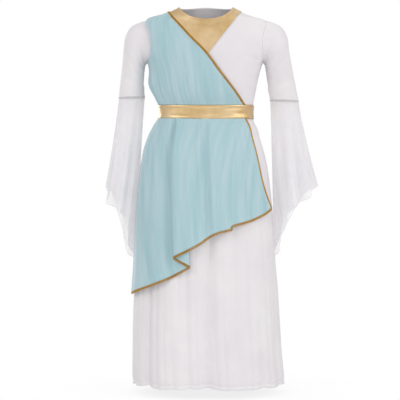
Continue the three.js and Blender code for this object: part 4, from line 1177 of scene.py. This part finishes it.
# %% [markdown]
# ## Braid
# A narrow gold braid covers the chiffon's free edges. Two rows of slim links lean towards each other, as
# the plies of a flat braid do. Its path is the edge of the chiffon, moved outwards by about a quarter of
# the braid's width, so that the braid covers the edge.

# %% Braid
BRAID_OUT = 1.62
SIDE_END, HEM_END = -2, -11  # the braid's path leaves these last points of the two edges out
BRAID_SIZES = {
    "Spacing": 1.9 * MM, "Link length": 4.5 * MM, "Link width": 1.9 * MM, "Link height": 3.2 * MM,
    "Row offset": 1.6 * MM, "Lean": 0.62,
}
braid_tree = links_tree("braid_links", BRAID_THREAD, (-1, 1))


def edge_path(edge, inside, normal):
    """A path just outside an edge, moved along the cloth's surface rather than out from it."""
    away = edge - inside
    away -= normal * (away * normal).sum(axis=1, keepdims=True)
    away /= np.linalg.norm(away, axis=1, keepdims=True)
    return edge + away * BRAID_OUT


overlay_out = grid_out(overlay_points)
bodice_path = edge_path(overlay_points[:, -1], overlay_points[:, -4], overlay_out[:, -1])
braid_bodice = lay_links("braid_bodice_plies", braid_tree, [bodice_path], [overlay_out[:, -1]], BRAID_SIZES)
belongs(braid_bodice, "gold_braid", "braid_bodice")

flap_out = grid_out(flap_points)
side_path = edge_path(flap_points[:, 0], flap_points[:, 3], flap_out[:, 0])
hem_path = edge_path(flap_points[-1], flap_points[-3], flap_out[-1])
skirt_path = np.concatenate([side_path[:SIDE_END], hem_path[1:HEM_END]])
skirt_outs = np.concatenate([flap_out[:SIDE_END, 0], flap_out[-1, 1:HEM_END]])
braid_skirt = lay_links("braid_skirt_plies", braid_tree, [skirt_path], [skirt_outs], BRAID_SIZES)
belongs(braid_skirt, "gold_braid", "braid_skirt")

# %% [markdown]
# ## Button and thread loop
# The back opens at the neck and closes with one small button in a thread loop. The button is turned like a
# dish, with a rim and a hollow, and it stays fastened as worn.

# %% Button and thread loop
FASTEN_TURN, FASTEN_Z = 176.0, NECK_BACK - 11.0
BUTTON_SEAT, BUTTON_SIDES = 1.25, 40
BUTTON_PROFILE = [  # radius and height, from the middle of the back round the rim to the middle of the face
    (0, 0), (3.6, 0), (4.7, 0.5), (5.0, 1.3), (4.8, 2.1), (4.2, 2.6), (3.6, 2.4), (2.9, 1.9), (1.2, 1.7),
    (0, 1.7),
]
LOOP_RADIUS, LOOP_CORD, LOOP_SEAT = 7.5, 0.8, 1.8
LOOP_SIDES, CORD_SIDES, PLY_SWELL, PLY_TURNS = 72, 10, 0.14, 18


def spokes(out, count):
    """Directions all round a line."""
    aside = np.cross(out, (0, 0, 1.0))
    aside /= np.linalg.norm(aside)
    angle = np.linspace(0, 2 * np.pi, count, endpoint=False)[:, None]
    return np.cos(angle) * aside + np.sin(angle) * np.cross(aside, out)


def turned(name, profile, sides, centre, out, material):
    """A shape of revolution about a line, closed at both ends of its profile."""
    radial = spokes(out, sides)
    points = [centre + out * profile[0][1]]
    for radius, height in profile[1:-1]:
        points.extend(centre + out * height + radial * radius)
    points.append(centre + out * profile[-1][1])
    rings = len(profile) - 2
    faces = [(0, 1 + (i + 1) % sides, 1 + i) for i in range(sides)]
    for ring in range(rings - 1):
        a, b = 1 + ring * sides, 1 + (ring + 1) * sides
        faces += [(a + i, a + (i + 1) % sides, b + (i + 1) % sides, b + i) for i in range(sides)]
    last = 1 + (rings - 1) * sides
    faces += [(last + i, last + (i + 1) % sides, len(points) - 1) for i in range(sides)]
    return new_piece(name, points, faces, material)


fasten_out = way_out(FASTEN_TURN, FASTEN_Z)
button_centre = moved(FASTEN_TURN, FASTEN_Z, BUTTON_SEAT)
button = turned("button_dish", BUTTON_PROFILE, BUTTON_SIDES, button_centre, fasten_out, BUTTON_SHELL)
belongs(button, "button_shell", "button")


def thread_loop():
    """A ring of twisted thread round the button."""
    centre = moved(FASTEN_TURN, FASTEN_Z, LOOP_SEAT)
    angle = np.linspace(0, 2 * np.pi, LOOP_SIDES, endpoint=False)[:, None]
    small = np.linspace(0, 2 * np.pi, CORD_SIDES, endpoint=False)[None, :]
    swell = LOOP_CORD * (1 + PLY_SWELL * np.sin(2 * small + PLY_TURNS * angle))
    radial = spokes(fasten_out, LOOP_SIDES)[:, None]
    points = centre + radial * (LOOP_RADIUS + swell * np.cos(small))[..., None]
    points = points + fasten_out * (swell * np.sin(small))[..., None]
    number = np.arange(LOOP_SIDES * CORD_SIDES).reshape(LOOP_SIDES, CORD_SIDES)
    after, beside = np.roll(number, -1, axis=0), np.roll(number, -1, axis=1)
    faces = np.stack([number, after, np.roll(after, -1, axis=1), beside], axis=2).reshape(-1, 4).tolist()
    return new_piece("button_loop_thread", points.reshape(-1, 3), faces, SEWING_THREAD)


belongs(thread_loop(), "thread", "button_loop")
print("button", 2 * max(radius for radius, height in BUTTON_PROFILE), "mm across")

# %% [markdown]
# ## Stitching
# The hem, the elbow seams and the neckline show a short straight stitch. Each row is a path on its own
# cloth, and the same tree as the braid's lays one slim stitch every few millimetres.

# %% Stitching
STITCH_SIZES = {
    "Spacing": 3.4 * MM, "Link length": 2.5 * MM, "Link width": 0.7 * MM, "Link height": 0.6 * MM,
    "Row offset": 0.0, "Lean": 0.0,
}
ELBOW_SIZES = dict(STITCH_SIZES, **{"Link length": 3.8 * MM, "Link width": 1.5 * MM, "Link height": 1.0 * MM})
stitch_tree = links_tree("stitches", SEWING_THREAD, (0,))
gold_stitch_tree = links_tree("gold_stitches", GOLD_THREAD, (0,))
HEM_SAMPLES, NECK_SAMPLES = 500, 190


def stitch_row(name, tree, lines, outs, lift, sizes=STITCH_SIZES):
    raised = [line + out * lift for line, out in zip(lines, outs)]
    belongs(lay_links(name, tree, raised, outs, sizes), "thread")


def skirt_line(start, stop, height):
    """Points round the skirt at a height, with the cloth's way out."""
    turn = np.linspace(start, stop, HEM_SAMPLES)
    points, ahead, above = [skirt_surface(turn + round_by, height + up_by + 0 * turn)
                            for round_by, up_by in ((0, 0), (0.5, 0), (0, 2))]
    out = np.cross(ahead - points, above - points)
    return points, out / np.linalg.norm(out, axis=1, keepdims=True)


hem_line, hem_out = skirt_line(-SIDE, FAR_SIDE, HEM + STITCH_UP)
stitch_row("hem_stitches", stitch_tree, [hem_line], [hem_out], JERSEY / 2)

elbow_lines = [np.concatenate([grid[0], grid[0, :1]]) for grid in (bell_left, bell_right)]
elbow_outs = [grid_out(grid[2:], True)[0] for grid in (bell_left, bell_right)]
elbow_outs = [np.concatenate([out, out[:1]]) for out in elbow_outs]
stitch_row("elbow_stitches", stitch_tree, elbow_lines, elbow_outs, CHIFFON / 2, ELBOW_SIZES)

NECK_STITCH_DOWN, NECK_STITCH_ENDS = 4.0, 10  # below the neckline, and short of the shoulder seams
neck_turn = np.linspace(-SIDE + NECK_STITCH_ENDS, SIDE - NECK_STITCH_ENDS, NECK_SAMPLES)
neck_z = front_neck(neck_turn) - NECK_STITCH_DOWN
neck_line, neck_out = moved(neck_turn, neck_z, YOKE_LIFT + 0.2), way_out(neck_turn, neck_z)
stitch_row("neck_stitches", gold_stitch_tree, [neck_line], [neck_out], LAME / 2)

# %% Hand over
bpy.context.view_layer.update()
